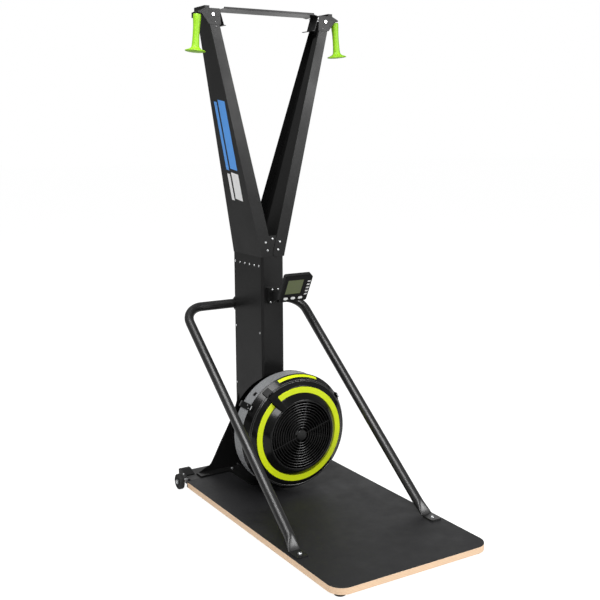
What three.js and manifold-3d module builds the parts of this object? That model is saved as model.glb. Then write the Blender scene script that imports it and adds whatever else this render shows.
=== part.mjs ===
// Ski trainer machine: an air-braked pulling machine that stands on its own plywood platform.
//
// Frame: millimetres. +Z is up, the floor is z = 0 and the origin is the middle of the footprint. The
// user stands on the platform on the -Y side. x = 0 is the middle plane: the machine is the same on
// both sides, but for the damper lever and the drive inside the column. The pieces are laid out from
// the column's front face, y = 0 in the functions below, and the whole is then moved to the origin.
import * as THREE from 'three';
import { mergeVertices } from 'three/addons/utils/BufferGeometryUtils.js';
import Module from 'manifold-3d';

const wasm = await Module();
wasm.setup();

// Fits that repeat all over the machine
const CLEARANCE = 0.3;
const RUNNING_CLEARANCE = 0.5;
const OVERRUN = 20;
const SHEET = 2.5;

// Platform: plywood board, rubber mat and round feet
const BOARD_WIDTH = 700;
const BOARD_LENGTH = 1197;
const BOARD_REAR = 178;
const BOARD_THICKNESS = 25;
const BOARD_FRONT_CORNER = 60;
const BOARD_REAR_CORNER = 8;
const MAT_THICKNESS = 3;
const FOOT_HEIGHT = 14;
const FOOT_RADIUS = 22;
const FOOT_INSET = 42;

// Rear beam: a bent steel tube behind the board, with end blocks that carry the transport wheels
const BEAM_WIDTH = 656;
const BEAM_DEPTH = 122;
const BEAM_FLAT = 62;
const BEAM_RIDGE = 102;
const BEAM_RIDGE_RISE = 4;
const BEAM_WALL = 3;
const REAR_FOOT_SETBACK = 27;
const REAR_FOOT_INSET = 14;
const END_BLOCK_LENGTH = 46;
const END_BLOCK_HEIGHT = 15;
const END_PLATE = 6;
const WHEEL_RADIUS = 34.5;
const WHEEL_WIDTH = 22;
const WHEEL_FLOOR_GAP = 1;
const WHEEL_SETBACK = 32;
const WHEEL_SPACER = 25;
const WHEEL_SPACER_RADIUS = 8;
const WHEEL_AXLE_RADIUS = 5;
const WHEEL_HEAD_RADIUS = 9;
const WHEEL_HEAD = 6;
const WHEEL_EDGE = 4;
const WHEEL_HUB_RADIUS = 14;
const WHEEL_RECESS = 4;

// Base frame: a plate under the column with a flared gusset on each side
const BASE_PLATE = 6;
const BASE_HALF_WIDTH = 130;
const BASE_FRONT = 20;
const GUSSET_SHEET = 6;
const GUSSET_SETBACK = 52;
const GUSSET_REACH = 222;
const GUSSET_HEIGHT = 350;
const BASE_STRIP_HALF_WIDTH = 275;
const BASE_STRIP_FRONT = 186;

// Column: four bent plates round the drive
const COLUMN_WIDTH = 110;
const COLUMN_DEPTH = 255;
const COLUMN_HEIGHT = 1002;
const COLUMN_CHAMFER = 8.5;
const FRONT_PLATE_RISE = 91;

// Arms: tapered channels that lean outwards from the top of the column
const ARM_RISE = 1000;
const ARM_REACH = 235;
const ARM_TOP_DEPTH = 94;
const ARM_FOOT_FLANGE = 54.5;
const ARM_TOP_FLANGE = 42;
const ARM_FOOT_REAR_FLANGE = 39;
const ARM_TOP_REAR_FLANGE = 28;
const ARM_LIP = 7;
const ARM_LIP_FOOT = 108;
const ARM_LIP_HEAD = 32;
const ARM_LIP_STOP = 80;
const FLANGE_CORNER = 16;
const ARM_TAB = 60;
const ARM_TAB_INSET = 25;

// Crossbar between the arms, and the brackets on top of them
const CROSSBAR_LIP = 6;
const CROSSBAR_FALL = 3;
const CROSSBAR_SLOPE = 20;
const CROSSBAR_DROP = 5;
const CROSSBAR_TAB = 62;
const CROSSBAR_TAB_LEAN = 19;
const CROSSBAR_TAB_DEPTH = 62;
const CROSSBAR_FOOT_WIDTH = 10;
const CROSSBAR_FOOT_DEPTH = 88;
const CROSSBAR_EAR_REACH = 38;
const CROSSBAR_EAR_SETBACK = 40;
const BRACKET_RISE = 22;
const BRACKET_OVERHANG = 11;
const BRACKET_BOX = 20;
const BRACKET_INNER_GAP = 13;
const BRACKET_SHOULDER = 13;
const BRACKET_SKIRT = 49;
const BRACKET_FLARE = 5;
const BRACKET_WALL_DROP = 4;
const HOOD_REACH = 30;
const HOOD_STEP = 10;
const HOOD_DROP = 3;
const HOOD_DEPTH = 61;
const HOOD_TOE = 16;
const HOOD_SKIRT = 21;
const HOOD_SKIRT_SETBACK = 38;
const LIP_REACH = 22;
const LIP_DROP = 8;
const LIP_SHEET = 3;
const CORD_SLOT_HALF = 4.5;
const CORD_SLOT_END = 3.6;
const CORD_NOTCH = 6;
const PULLEY_EAR_GAP = 2;

// Pulleys and drive cords
const CORD_RADIUS = 3;
const CORD_PLANE = 14;
const CORD_TURN = 4;
const PULLEY_WIDTH = 12;
const TOP_PULLEY_RADIUS = 17;
const TOP_PULLEY_GROOVE = 11.7;
const TOP_PULLEY_DROP = 11;
const TOP_PULLEY_INSET = 24;
const IDLER_RADIUS = 13;
const IDLER_GROOVE = 8;
const IDLER_RISE = 6;
const PULLEY_FLANGE = 1.6;
const PIN_RADIUS = 4;
const PIN_HEAD_RADIUS = 6.5;
const PIN_HEAD = 3;

// Handles: moulded grips with a wide flare at the bottom
const HANDLE_OFFSET = 325.6;
const HANDLE_LENGTH = 150;
const HANDLE_TOP_RADIUS = 16;
const HANDLE_WAIST_RADIUS = 13.5;
const HANDLE_GRIP_RADIUS = 15;
const HANDLE_FLARE_RADIUS = 41;
const HANDLE_FLARE_EDGE = 3;
const HANDLE_NECK_RADIUS = 20.2;
const HANDLE_SKIRT_RADIUS = 30.8;
const HANDLE_MOUTH_RADIUS = 24.6;
const HANDLE_GAP = 1.8;
const HANDLE_LEAN = THREE.MathUtils.degToRad(5);

// Front brace: one bent tube, clamped behind the column, with flattened feet on the mat
const BRACE_RADIUS = 20.5;
const BRACE_HEIGHT = 762;
const BRACE_TOP_HALF = 298;
const BRACE_BEND = 88;
const BRACE_FOOT_HALF = 308;
const BRACE_FOOT_REACH = 682;
const BRACE_PAD_LENGTH = 66;
const BRACE_PAD_WIDTH = 50;
const BRACE_PAD = 6;
const BRACE_PAD_SHIFT = 6;
const BRACE_SQUASH = 62;
const CLAMP_WIDTH = 90;
const CLAMP_HEIGHT = 60;
const CLAMP_WALL = 2;

// Flywheel housing: rear cowl, perforated band, front cowl, accent ring and grille
const WHEEL_CENTRE = 267;
const HOUSING_WALL = 3;
const REAR_WALL_RADIUS = 219;
const REAR_EDGE_ROUND = 5;
const BAND_REAR_RADIUS = 248.6;
const BAND_FRONT_RADIUS = 251.8;
const BAND_REAR = 92;
const BAND_FRONT = 165;
const BAND_SHEET = 2;
const COWL_ARRIS_RADIUS = 230;
const COWL_ARRIS = 198;
const RING_OUTER = 205.4;
const RING_INNER = 180;
const RING_SEAT = 211;
const RING_THICKNESS = 2.5;
const RING_GAP = 36;
const GRILLE_RADIUS = 151;
const GRILLE_FRONT = 236;
const GRILLE_DEPTH = 7;
const GRILLE_RIM = 5;
const GRILLE_WIRE = 3;
const GRILLE_HUB_RADIUS = 23;
const GRILLE_RINGS = 8;
const GRILLE_SPOKE = 3;
const GRILLE_SPOKE_LOW = THREE.MathUtils.degToRad(-17.5);
const GRILLE_SPOKE_HIGH = THREE.MathUtils.degToRad(-79);
const AXLE_HOLE = 16;

// Damper lever on the front cowl
const DAMPER_ANGLE = THREE.MathUtils.degToRad(-35.5);
const LEVER_WIDTH = 35;
const LEVER_THICKNESS = 6;
const LEVER_TIP_RADIUS = 150;
const LEVER_RING_WIDTH = 30;
const LEVER_TIP_WIDTH = 21;
const LEVER_TIP_ROUND = 5;
const LEVER_REAR = 176;

// Fan, axle, bearings and cord spools
const FAN_RADIUS = 205;
const FAN_HUB_RADIUS = 34;
const FAN_FRONT = 190;
const FAN_REAR = 55;
const FAN_DISC = 3;
const FAN_BLADE = 3;
const FAN_BLADE_INNER = 90;
const FAN_BLADES = 20;
const AXLE_RADIUS = 10;
const AXLE_FRONT = 196;
const AXLE_REAR = 172;
const BEARING_RADIUS = 26;
const BEARING_WIDTH = 16;
const BRIDGE_SETBACK = 150;
const BRIDGE_SHEET = 5;
const BRIDGE_HEIGHT = 110;
const SPOOL_FLANGE_RADIUS = 33;
const SPOOL_FLANGE = 3;
const SPOOL_PACK_RADIUS = 21.7;
const SPOOL_PACK = 20;
const BUNGEE_PACK_RADIUS = 12.5;
const BUNGEE_PACK = 12;
const BUNGEE_FLANGE_RADIUS = 22;
const SPOOL_START = 30;
const SPOOL_PITCH = 52;
const BUNGEE_RADIUS = 4;
const ANCHOR_RADIUS = 5;
const ANCHOR_DROP = 102;

// Monitor on its tilting bracket
const MONITOR_WIDTH = 127;
const MONITOR_HEIGHT = 127;
const MONITOR_BEZEL = 10;
const MONITOR_BACK = 16;
const MONITOR_CORNER = 8;
const MONITOR_REACH = 195;
const MONITOR_DROP = 113;
const MONITOR_TILT = THREE.MathUtils.degToRad(28);
const SCREEN_WIDTH = 76;
const SCREEN_HEIGHT = 72;
const SCREEN_LEFT = 13;
const SCREEN_TOP = 17;
const SCREEN_RECESS = 1.5;
const BUTTON_WIDTH = 21;
const BUTTON_HEIGHT = 12;
const BUTTON_PITCH = 35;
const BUTTON_RISE = 17;
const BUTTON_START = 23;
const BUTTON_PROUD = 1.8;
const BUTTON_DEPTH = 6.5;
const TILT_PIN_RADIUS = 4;
const TILT_PIN_SETBACK = 12;
const TILT_PIN_DROP = 35;
const LUG_HALF_WIDTH = 12;
const EAR_SHEET = 3;
const EAR_RADIUS = 9;
const MONITOR_BASE_DEPTH = 19;
const MONITOR_BASE_HALF = 31;
const MONITOR_BASE_DROP = 132;
const MONITOR_BASE_HEIGHT = 67;
const MONITOR_EAR_DROP = 17;

// Faceting
const ROUND = 24;
const HOUSING_ROUND = 48;
const SMALL_ROUND = 12;
const CORD_SIDES = 8;

// Places worked out from the sizes above
const DECK = FOOT_HEIGHT + BOARD_THICKNESS + MAT_THICKNESS;
const BOARD_FRONT = BOARD_REAR - BOARD_LENGTH;
const BEAM_REAR = BOARD_REAR + BEAM_DEPTH;
const HALF_BEAM = BEAM_WIDTH / 2;
const HALF_COLUMN = COLUMN_WIDTH / 2;
const COLUMN_FOOT = DECK + BASE_PLATE;
const BEND = DECK + COLUMN_HEIGHT;
const ARM_TOP = BEND + ARM_RISE;
const AXLE_HEIGHT = DECK + WHEEL_CENTRE;
const CORD_RUN = SPOOL_PACK_RADIUS + CLEARANCE + CORD_RADIUS;
const BRACE_SETBACK = COLUMN_DEPTH + CLAMP_WALL + BRACE_RADIUS + CLEARANCE;
const BRACE_TOP = DECK + BRACE_HEIGHT;

// Materials
function finish(color, roughness, metalness) {
  return new THREE.MeshStandardMaterial({ color, roughness, metalness });
}
const BLACK_PAINT = finish(0x1b1b1c, 0.35, 0.3);
const BLACK_PLASTIC = finish(0x151516, 0.4, 0);
const PLYWOOD = finish(0xe9c69a, 0.6, 0);
const RUBBER = finish(0x262627, 0.85, 0);
const TYRE = finish(0x1a1a1b, 0.7, 0);
const BRIGHT_STEEL = finish(0xb9bbbd, 0.3, 1);
const GREY_MESH = finish(0x8d8f91, 0.45, 0.6);
const LIME = finish(0xd6ee12, 0.4, 0);
const GRIP_GREEN = finish(0x9be21c, 0.5, 0);
const CORD = finish(0x222224, 0.8, 0);
const SCREEN = finish(0x5d6540, 0.2, 0);
const WHITE_PLASTIC = finish(0xe8e9e6, 0.4, 0);
const FAN_PLASTIC = finish(0x202122, 0.6, 0);

// A closed geometry as a solid that can be cut and joined
function solid(geometry) {
  const plain = geometry.clone();
  plain.deleteAttribute('normal');
  plain.deleteAttribute('uv');
  const merged = mergeVertices(plain);
  const index = merged.index.array;
  const kept = [];
  for (let i = 0; i < index.length; i += 3) {
    const [a, b, c] = [index[i], index[i + 1], index[i + 2]];
    if (a !== b && b !== c && c !== a) kept.push(a, b, c);
  }
  return new wasm.Manifold(new wasm.Mesh({
    numProp: 3,
    vertProperties: new Float32Array(merged.attributes.position.array),
    triVerts: new Uint32Array(kept),
  }));
}

function geometryOf(body) {
  const mesh = body.getMesh();
  const geometry = new THREE.BufferGeometry();
  geometry.setAttribute('position', new THREE.BufferAttribute(new Float32Array(mesh.vertProperties), 3));
  geometry.setIndex(new THREE.BufferAttribute(new Uint32Array(mesh.triVerts), 1));
  return geometry;
}

function join(...bodies) {
  return bodies.reduce((sum, body) => sum.add(body));
}

function cut(body, ...tools) {
  return tools.reduce((rest, tool) => rest.subtract(tool), body);
}

// The same shape on the other side of the middle plane, with its faces still pointing out
function mirrored(geometry) {
  const other = geometry.clone();
  other.applyMatrix4(new THREE.Matrix4().makeScale(-1, 1, 1));
  const index = other.index.array;
  for (let i = 0; i < index.length; i += 3) {
    const second = index[i + 1];
    index[i + 1] = index[i + 2];
    index[i + 2] = second;
  }
  return other;
}

function box(low, high) {
  const size = high.map((value, i) => value - low[i]);
  const geometry = new THREE.BoxGeometry(...size);
  geometry.translate(...high.map((value, i) => (value + low[i]) / 2));
  return geometry;
}

function outline(points) {
  return new THREE.Shape(points.map(([u, v]) => new THREE.Vector2(u, v)));
}

// A flat outline made thick along one axis: (x, y) along Z, (y, z) along X, (x, z) along Y
function prismZ(shape, from, to) {
  const options = { depth: to - from, bevelEnabled: false, curveSegments: SMALL_ROUND };
  const geometry = new THREE.ExtrudeGeometry(shape, options);
  geometry.translate(0, 0, from);
  return geometry;
}

function prismX(shape, from, to) {
  const geometry = prismZ(shape, from, to);
  const turn = new THREE.Matrix4().makeBasis(
    new THREE.Vector3(0, 1, 0),
    new THREE.Vector3(0, 0, 1),
    new THREE.Vector3(1, 0, 0),
  );
  geometry.applyMatrix4(turn);
  return geometry;
}

function prismY(shape, from, to) {
  const geometry = prismZ(shape, -to, -from);
  const turn = new THREE.Matrix4().makeBasis(
    new THREE.Vector3(1, 0, 0),
    new THREE.Vector3(0, 0, 1),
    new THREE.Vector3(0, -1, 0),
  );
  geometry.applyMatrix4(turn);
  return geometry;
}

function hole(shape, u, v, radius) {
  const path = new THREE.Path();
  path.absarc(u, v, radius, 0, Math.PI * 2, true);
  shape.holes.push(path);
}

function rodX(radius, from, to, y, z, sides = ROUND) {
  const geometry = new THREE.CylinderGeometry(radius, radius, to - from, sides);
  geometry.rotateZ(-Math.PI / 2);
  geometry.translate((from + to) / 2, y, z);
  return geometry;
}

function rodY(radius, from, to, x, z, sides = ROUND) {
  const geometry = new THREE.CylinderGeometry(radius, radius, to - from, sides);
  geometry.translate(x, (from + to) / 2, z);
  return geometry;
}

function rodZ(radius, from, to, x, y, sides = ROUND) {
  const geometry = new THREE.CylinderGeometry(radius, radius, to - from, sides);
  geometry.rotateX(Math.PI / 2);
  geometry.translate(x, y, (from + to) / 2);
  return geometry;
}

// A closed profile of [radius, place along Y] points turned round the Y axis at (x, z)
function turnedY(profile, x, z, sides = ROUND) {
  const points = profile.map(([radius, along]) => new THREE.Vector2(radius, along));
  points.push(points[0].clone());
  const area = points.slice(1).reduce((sum, p, i) => sum + points[i].x * p.y - p.x * points[i].y, 0);
  if (area < 0) points.reverse();
  const geometry = new THREE.LatheGeometry(points, sides);
  geometry.translate(x, 0, z);
  return geometry;
}

function turnedX(profile, y, z, sides = ROUND) {
  const geometry = turnedY(profile, 0, 0, sides);
  geometry.rotateZ(-Math.PI / 2);
  geometry.translate(0, y, z);
  return geometry;
}

// A route through given points, with one step for each stretch between two of them
class Route extends THREE.Curve {
  constructor(points) {
    super();
    this.points = points;
  }

  getPoint(t, target = new THREE.Vector3()) {
    const place = t * (this.points.length - 1);
    const i = Math.min(Math.floor(place + 1e-6), this.points.length - 2);
    return target.copy(this.points[i]).lerp(this.points[i + 1], Math.max(0, place - i));
  }

  getPointAt(u, target) {
    return this.getPoint(u, target);
  }

  getTangentAt(u, target = new THREE.Vector3()) {
    const last = this.points.length - 1;
    const i = Math.round(u * last);
    const before = this.points[Math.max(0, i - 1)];
    const after = this.points[Math.min(last, i + 1)];
    return target.copy(after).sub(before).normalize();
  }
}

function tube(points, radius, sides) {
  const section = new THREE.Shape();
  for (let i = 0; i < sides; i += 1) {
    const angle = (i / sides) * Math.PI * 2;
    const place = [radius * Math.cos(angle), radius * Math.sin(angle)];
    if (i === 0) section.moveTo(...place);
    else section.lineTo(...place);
  }
  section.closePath();
  return new THREE.ExtrudeGeometry(section, {
    steps: points.length - 1,
    extrudePath: new Route(points),
    bevelEnabled: false,
  });
}

// The rounded corner between two straight runs that meet at a point
function fillet(before, corner, after, radius, steps) {
  const a = before.clone().sub(corner).normalize();
  const b = after.clone().sub(corner).normalize();
  const half = a.angleTo(b) / 2;
  const start = corner.clone().addScaledVector(a, radius / Math.tan(half));
  const end = corner.clone().addScaledVector(b, radius / Math.tan(half));
  const centre = corner.clone().addScaledVector(a.clone().add(b).normalize(), radius / Math.sin(half));
  const u = start.clone().sub(centre);
  const v = end.clone().sub(centre);
  const sweep = u.angleTo(v);
  const points = [];
  for (let i = 0; i <= steps; i += 1) {
    const part = (i / steps) * sweep;
    const point = centre.clone();
    point.addScaledVector(u, Math.sin(sweep - part) / Math.sin(sweep));
    point.addScaledVector(v, Math.sin(part) / Math.sin(sweep));
    points.push(point);
  }
  return points;
}

const machine = new THREE.Group();

function add(name, geometry, material, parent = machine) {
  const mesh = new THREE.Mesh(geometry, material);
  mesh.name = name;
  parent.add(mesh);
  return mesh;
}

// A right-hand piece and its mirror image
function addPair(name, geometry, material) {
  add(`${name}_right`, geometry, material);
  add(`${name}_left`, mirrored(geometry), material);
}

// Platform

function boardShape() {
  const half = BOARD_WIDTH / 2;
  const front = BOARD_FRONT_CORNER;
  const rear = BOARD_REAR_CORNER;
  const shape = new THREE.Shape();
  shape.absarc(-half + front, BOARD_FRONT + front, front, Math.PI, Math.PI * 1.5, false);
  shape.absarc(half - front, BOARD_FRONT + front, front, Math.PI * 1.5, Math.PI * 2, false);
  shape.absarc(half - rear, BOARD_REAR - rear, rear, 0, Math.PI * 0.5, false);
  shape.absarc(-half + rear, BOARD_REAR - rear, rear, Math.PI * 0.5, Math.PI, false);
  shape.closePath();
  return shape;
}

function platform() {
  const boardTop = FOOT_HEIGHT + BOARD_THICKNESS;
  add('platform_board', geometryOf(solid(prismZ(boardShape(), FOOT_HEIGHT, boardTop))), PLYWOOD);
  add('platform_mat', geometryOf(solid(prismZ(boardShape(), boardTop, DECK))), RUBBER);
  const frontX = BOARD_WIDTH / 2 - FOOT_INSET;
  const rearX = HALF_BEAM - REAR_FOOT_INSET;
  const rearY = BOARD_REAR + REAR_FOOT_SETBACK;
  addPair('foot_front', rodZ(FOOT_RADIUS, 0, FOOT_HEIGHT, frontX, BOARD_FRONT + FOOT_INSET), RUBBER);
  addPair('foot_rear', rodZ(FOOT_RADIUS, 0, FOOT_HEIGHT, rearX, rearY), RUBBER);
}

// Rear beam, end blocks and transport wheels

function beamProfile(wall) {
  const front = BOARD_REAR + wall;
  const rear = BEAM_REAR - wall;
  const low = FOOT_HEIGHT + wall;
  const high = DECK - wall;
  return [
    [front, low],
    [rear, low],
    [rear, high + BEAM_RIDGE_RISE],
    [BOARD_REAR + BEAM_RIDGE, high + BEAM_RIDGE_RISE],
    [BOARD_REAR + BEAM_FLAT, high],
    [front, high],
  ];
}

function rearBeam() {
  const outer = prismX(outline(beamProfile(0)), -HALF_BEAM, HALF_BEAM);
  const inner = prismX(outline(beamProfile(BEAM_WALL)), -HALF_BEAM - OVERRUN, HALF_BEAM + OVERRUN);
  add('rear_beam', geometryOf(cut(solid(outer), solid(inner))), BLACK_PAINT);
}

const WHEEL_AXLE_Y = BOARD_REAR + WHEEL_SETBACK;
const WHEEL_AXLE_Z = WHEEL_RADIUS + WHEEL_FLOOR_GAP;
const WHEEL_INNER = HALF_BEAM + END_PLATE + WHEEL_SPACER;
const WHEEL_OUTER = WHEEL_INNER + WHEEL_WIDTH;

function endBlocks() {
  const ridge = BOARD_REAR + BEAM_RIDGE;
  const start = BOARD_REAR + BEAM_FLAT;
  const top = DECK + BEAM_RIDGE_RISE + END_BLOCK_HEIGHT;
  const saddle = outline([
    [start, DECK + CLEARANCE],
    [ridge, DECK + BEAM_RIDGE_RISE + CLEARANCE],
    [BEAM_REAR, DECK + BEAM_RIDGE_RISE + CLEARANCE],
    [BEAM_REAR, top],
    [ridge, top],
    [start, DECK + CLEARANCE + BEAM_WALL],
  ]);
  const reach = WHEEL_SPACER_RADIUS * 2;
  const plate = outline([
    [WHEEL_AXLE_Y - reach, WHEEL_AXLE_Z - WHEEL_SPACER_RADIUS],
    [WHEEL_AXLE_Y, FOOT_HEIGHT],
    [BEAM_REAR, FOOT_HEIGHT],
    [BEAM_REAR, top],
    [ridge, top],
    [start, DECK + WHEEL_SPACER_RADIUS],
    [WHEEL_AXLE_Y - reach, WHEEL_AXLE_Z + WHEEL_SPACER_RADIUS],
  ]);
  const outer = HALF_BEAM + END_PLATE;
  const block = join(
    solid(prismX(saddle, HALF_BEAM - END_BLOCK_LENGTH, outer)),
    solid(prismX(plate, HALF_BEAM, outer)),
  );
  const bore = rodX(
    WHEEL_AXLE_RADIUS + CLEARANCE,
    HALF_BEAM - OVERRUN,
    outer + OVERRUN,
    WHEEL_AXLE_Y,
    WHEEL_AXLE_Z,
  );
  addPair('beam_end_block', geometryOf(cut(block, solid(bore))), BLACK_PLASTIC);
}

function transportWheels() {
  const bore = WHEEL_AXLE_RADIUS + CLEARANCE;
  const hubFace = WHEEL_OUTER - WHEEL_RECESS;
  const tyre = [
    [bore, WHEEL_INNER],
    [WHEEL_RADIUS - WHEEL_EDGE, WHEEL_INNER],
    [WHEEL_RADIUS, WHEEL_INNER + WHEEL_EDGE],
    [WHEEL_RADIUS, WHEEL_OUTER - WHEEL_EDGE],
    [WHEEL_RADIUS - WHEEL_EDGE, WHEEL_OUTER],
    [WHEEL_RADIUS - WHEEL_EDGE * 2, WHEEL_OUTER],
    [WHEEL_RADIUS - WHEEL_EDGE * 2 - WHEEL_RECESS, hubFace],
    [WHEEL_HUB_RADIUS, hubFace],
    [WHEEL_HUB_RADIUS, WHEEL_OUTER],
    [bore, WHEEL_OUTER],
  ];
  addPair('transport_wheel', geometryOf(solid(turnedX(tyre, WHEEL_AXLE_Y, WHEEL_AXLE_Z))), TYRE);
  const spacerFrom = HALF_BEAM + END_PLATE + CLEARANCE;
  const spacerTo = WHEEL_INNER - CLEARANCE;
  const headFrom = WHEEL_OUTER + CLEARANCE;
  const axle = [
    [0, HALF_BEAM],
    [WHEEL_AXLE_RADIUS, HALF_BEAM],
    [WHEEL_AXLE_RADIUS, spacerFrom],
    [WHEEL_SPACER_RADIUS, spacerFrom],
    [WHEEL_SPACER_RADIUS, spacerTo],
    [WHEEL_AXLE_RADIUS, spacerTo],
    [WHEEL_AXLE_RADIUS, headFrom],
    [WHEEL_HEAD_RADIUS, headFrom],
    [WHEEL_HEAD_RADIUS, headFrom + WHEEL_HEAD],
    [0, headFrom + WHEEL_HEAD],
  ];
  addPair('wheel_axle', geometryOf(solid(turnedX(axle, WHEEL_AXLE_Y, WHEEL_AXLE_Z))), BRIGHT_STEEL);
}

// Base frame and column

function baseFrame() {
  const gussetFront = BOARD_REAR + GUSSET_SETBACK;
  const gussetRear = gussetFront + GUSSET_SHEET;
  const plate = box([-BASE_HALF_WIDTH, -BASE_FRONT, DECK], [BASE_HALF_WIDTH, gussetRear, COLUMN_FOOT]);
  const strip = box(
    [-BASE_STRIP_HALF_WIDTH, BASE_STRIP_FRONT, DECK],
    [BASE_STRIP_HALF_WIDTH, gussetRear, COLUMN_FOOT],
  );
  // Outline shares: how far out and how high the flared edge of a gusset runs
  const flareShares = [
    [0, 1],
    [0.06, 0.85],
    [0.2, 0.64],
    [0.44, 0.365],
    [0.655, 0.115],
    [0.765, 0.075],
    [1, 0],
  ];
  const inner = HALF_COLUMN + CLEARANCE;
  const foot = DECK + CLEARANCE;
  const edge = flareShares.map(([out, up]) => [inner + out * GUSSET_REACH, foot + up * GUSSET_HEIGHT]);
  const gusset = solid(prismY(outline([[inner, foot], ...edge]), gussetFront, gussetRear));
  const other = solid(mirrored(geometryOf(gusset)));
  add('base_frame', geometryOf(join(solid(plate), solid(strip), gusset, other)), BLACK_PAINT);
}

function columnPlates() {
  const inner = HALF_COLUMN - SHEET;
  // Each side is bent round its front corner, with a slanted face between the two bends
  const slant = HALF_COLUMN - COLUMN_CHAMFER;
  const innerSlant = slant - SHEET * Math.SQRT2;
  const frontHalf = slant - SHEET;
  const side = outline([
    [inner, COLUMN_DEPTH],
    [inner, inner - innerSlant],
    [innerSlant + SHEET, SHEET],
    [frontHalf, SHEET],
    [frontHalf, 0],
    [slant, 0],
    [HALF_COLUMN, COLUMN_CHAMFER],
    [HALF_COLUMN, COLUMN_DEPTH],
  ]);
  addPair('column_side', geometryOf(solid(prismZ(side, COLUMN_FOOT, BEND))), BLACK_PAINT);

  const top = BEND + FRONT_PLATE_RISE;
  const lean = (ARM_REACH / ARM_RISE) * FRONT_PLATE_RISE;
  const neck = inner - CLEARANCE;
  const front = outline([
    [-frontHalf, COLUMN_FOOT],
    [frontHalf, COLUMN_FOOT],
    [frontHalf, BEND],
    [neck, BEND],
    [neck + lean, top],
    [-neck - lean, top],
    [-neck, BEND],
    [-frontHalf, BEND],
  ]);
  hole(front, 0, AXLE_HEIGHT, AXLE_HOLE);
  const studs = [-1, 1].map((side2) => {
    const x = side2 * (CORD_RUN + IDLER_GROOVE + CLEARANCE + CORD_RADIUS);
    const end = CORD_PLANE + PULLEY_WIDTH / 2 + PIN_HEAD;
    return solid(rodY(PIN_RADIUS, SHEET / 2, end, x, BEND + IDLER_RISE, SMALL_ROUND));
  });
  add('column_front', geometryOf(join(solid(prismY(front, 0, SHEET)), ...studs)), BLACK_PAINT);

  const rear = outline([[-inner, COLUMN_FOOT], [inner, COLUMN_FOOT], [inner, BEND], [-inner, BEND]]);
  add('column_back', geometryOf(solid(prismY(rear, COLUMN_DEPTH - SHEET, COLUMN_DEPTH))), BLACK_PAINT);
}

// Arms: x of the outer face, and of the inner edge of each flange, at a height above the bend
const ARM_SLOPE = ARM_REACH / ARM_RISE;

function armOuter(height) {
  return HALF_COLUMN + ARM_SLOPE * height;
}

function flangeEdge(footWidth, topWidth, height) {
  const width = footWidth + ((topWidth - footWidth) * height) / ARM_RISE;
  return armOuter(height) - width;
}

function armFlange(footWidth, topWidth) {
  const start = flangeEdge(footWidth, topWidth, 0);
  const end = flangeEdge(footWidth, topWidth, ARM_RISE);
  const inner = Math.max(start, CLEARANCE);
  const foot = BEND + CLEARANCE;
  // The lower inner corner is cut round
  const cornerShares = [1, 0.7, 0.3, 0.08, 0];
  const corner = cornerShares.map((up, i) => [
    inner + FLANGE_CORNER * cornerShares[cornerShares.length - 1 - i],
    foot + FLANGE_CORNER * up,
  ]);
  return outline([...corner, [HALF_COLUMN, foot], [armOuter(ARM_RISE), ARM_TOP], [end, ARM_TOP]]);
}

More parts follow.
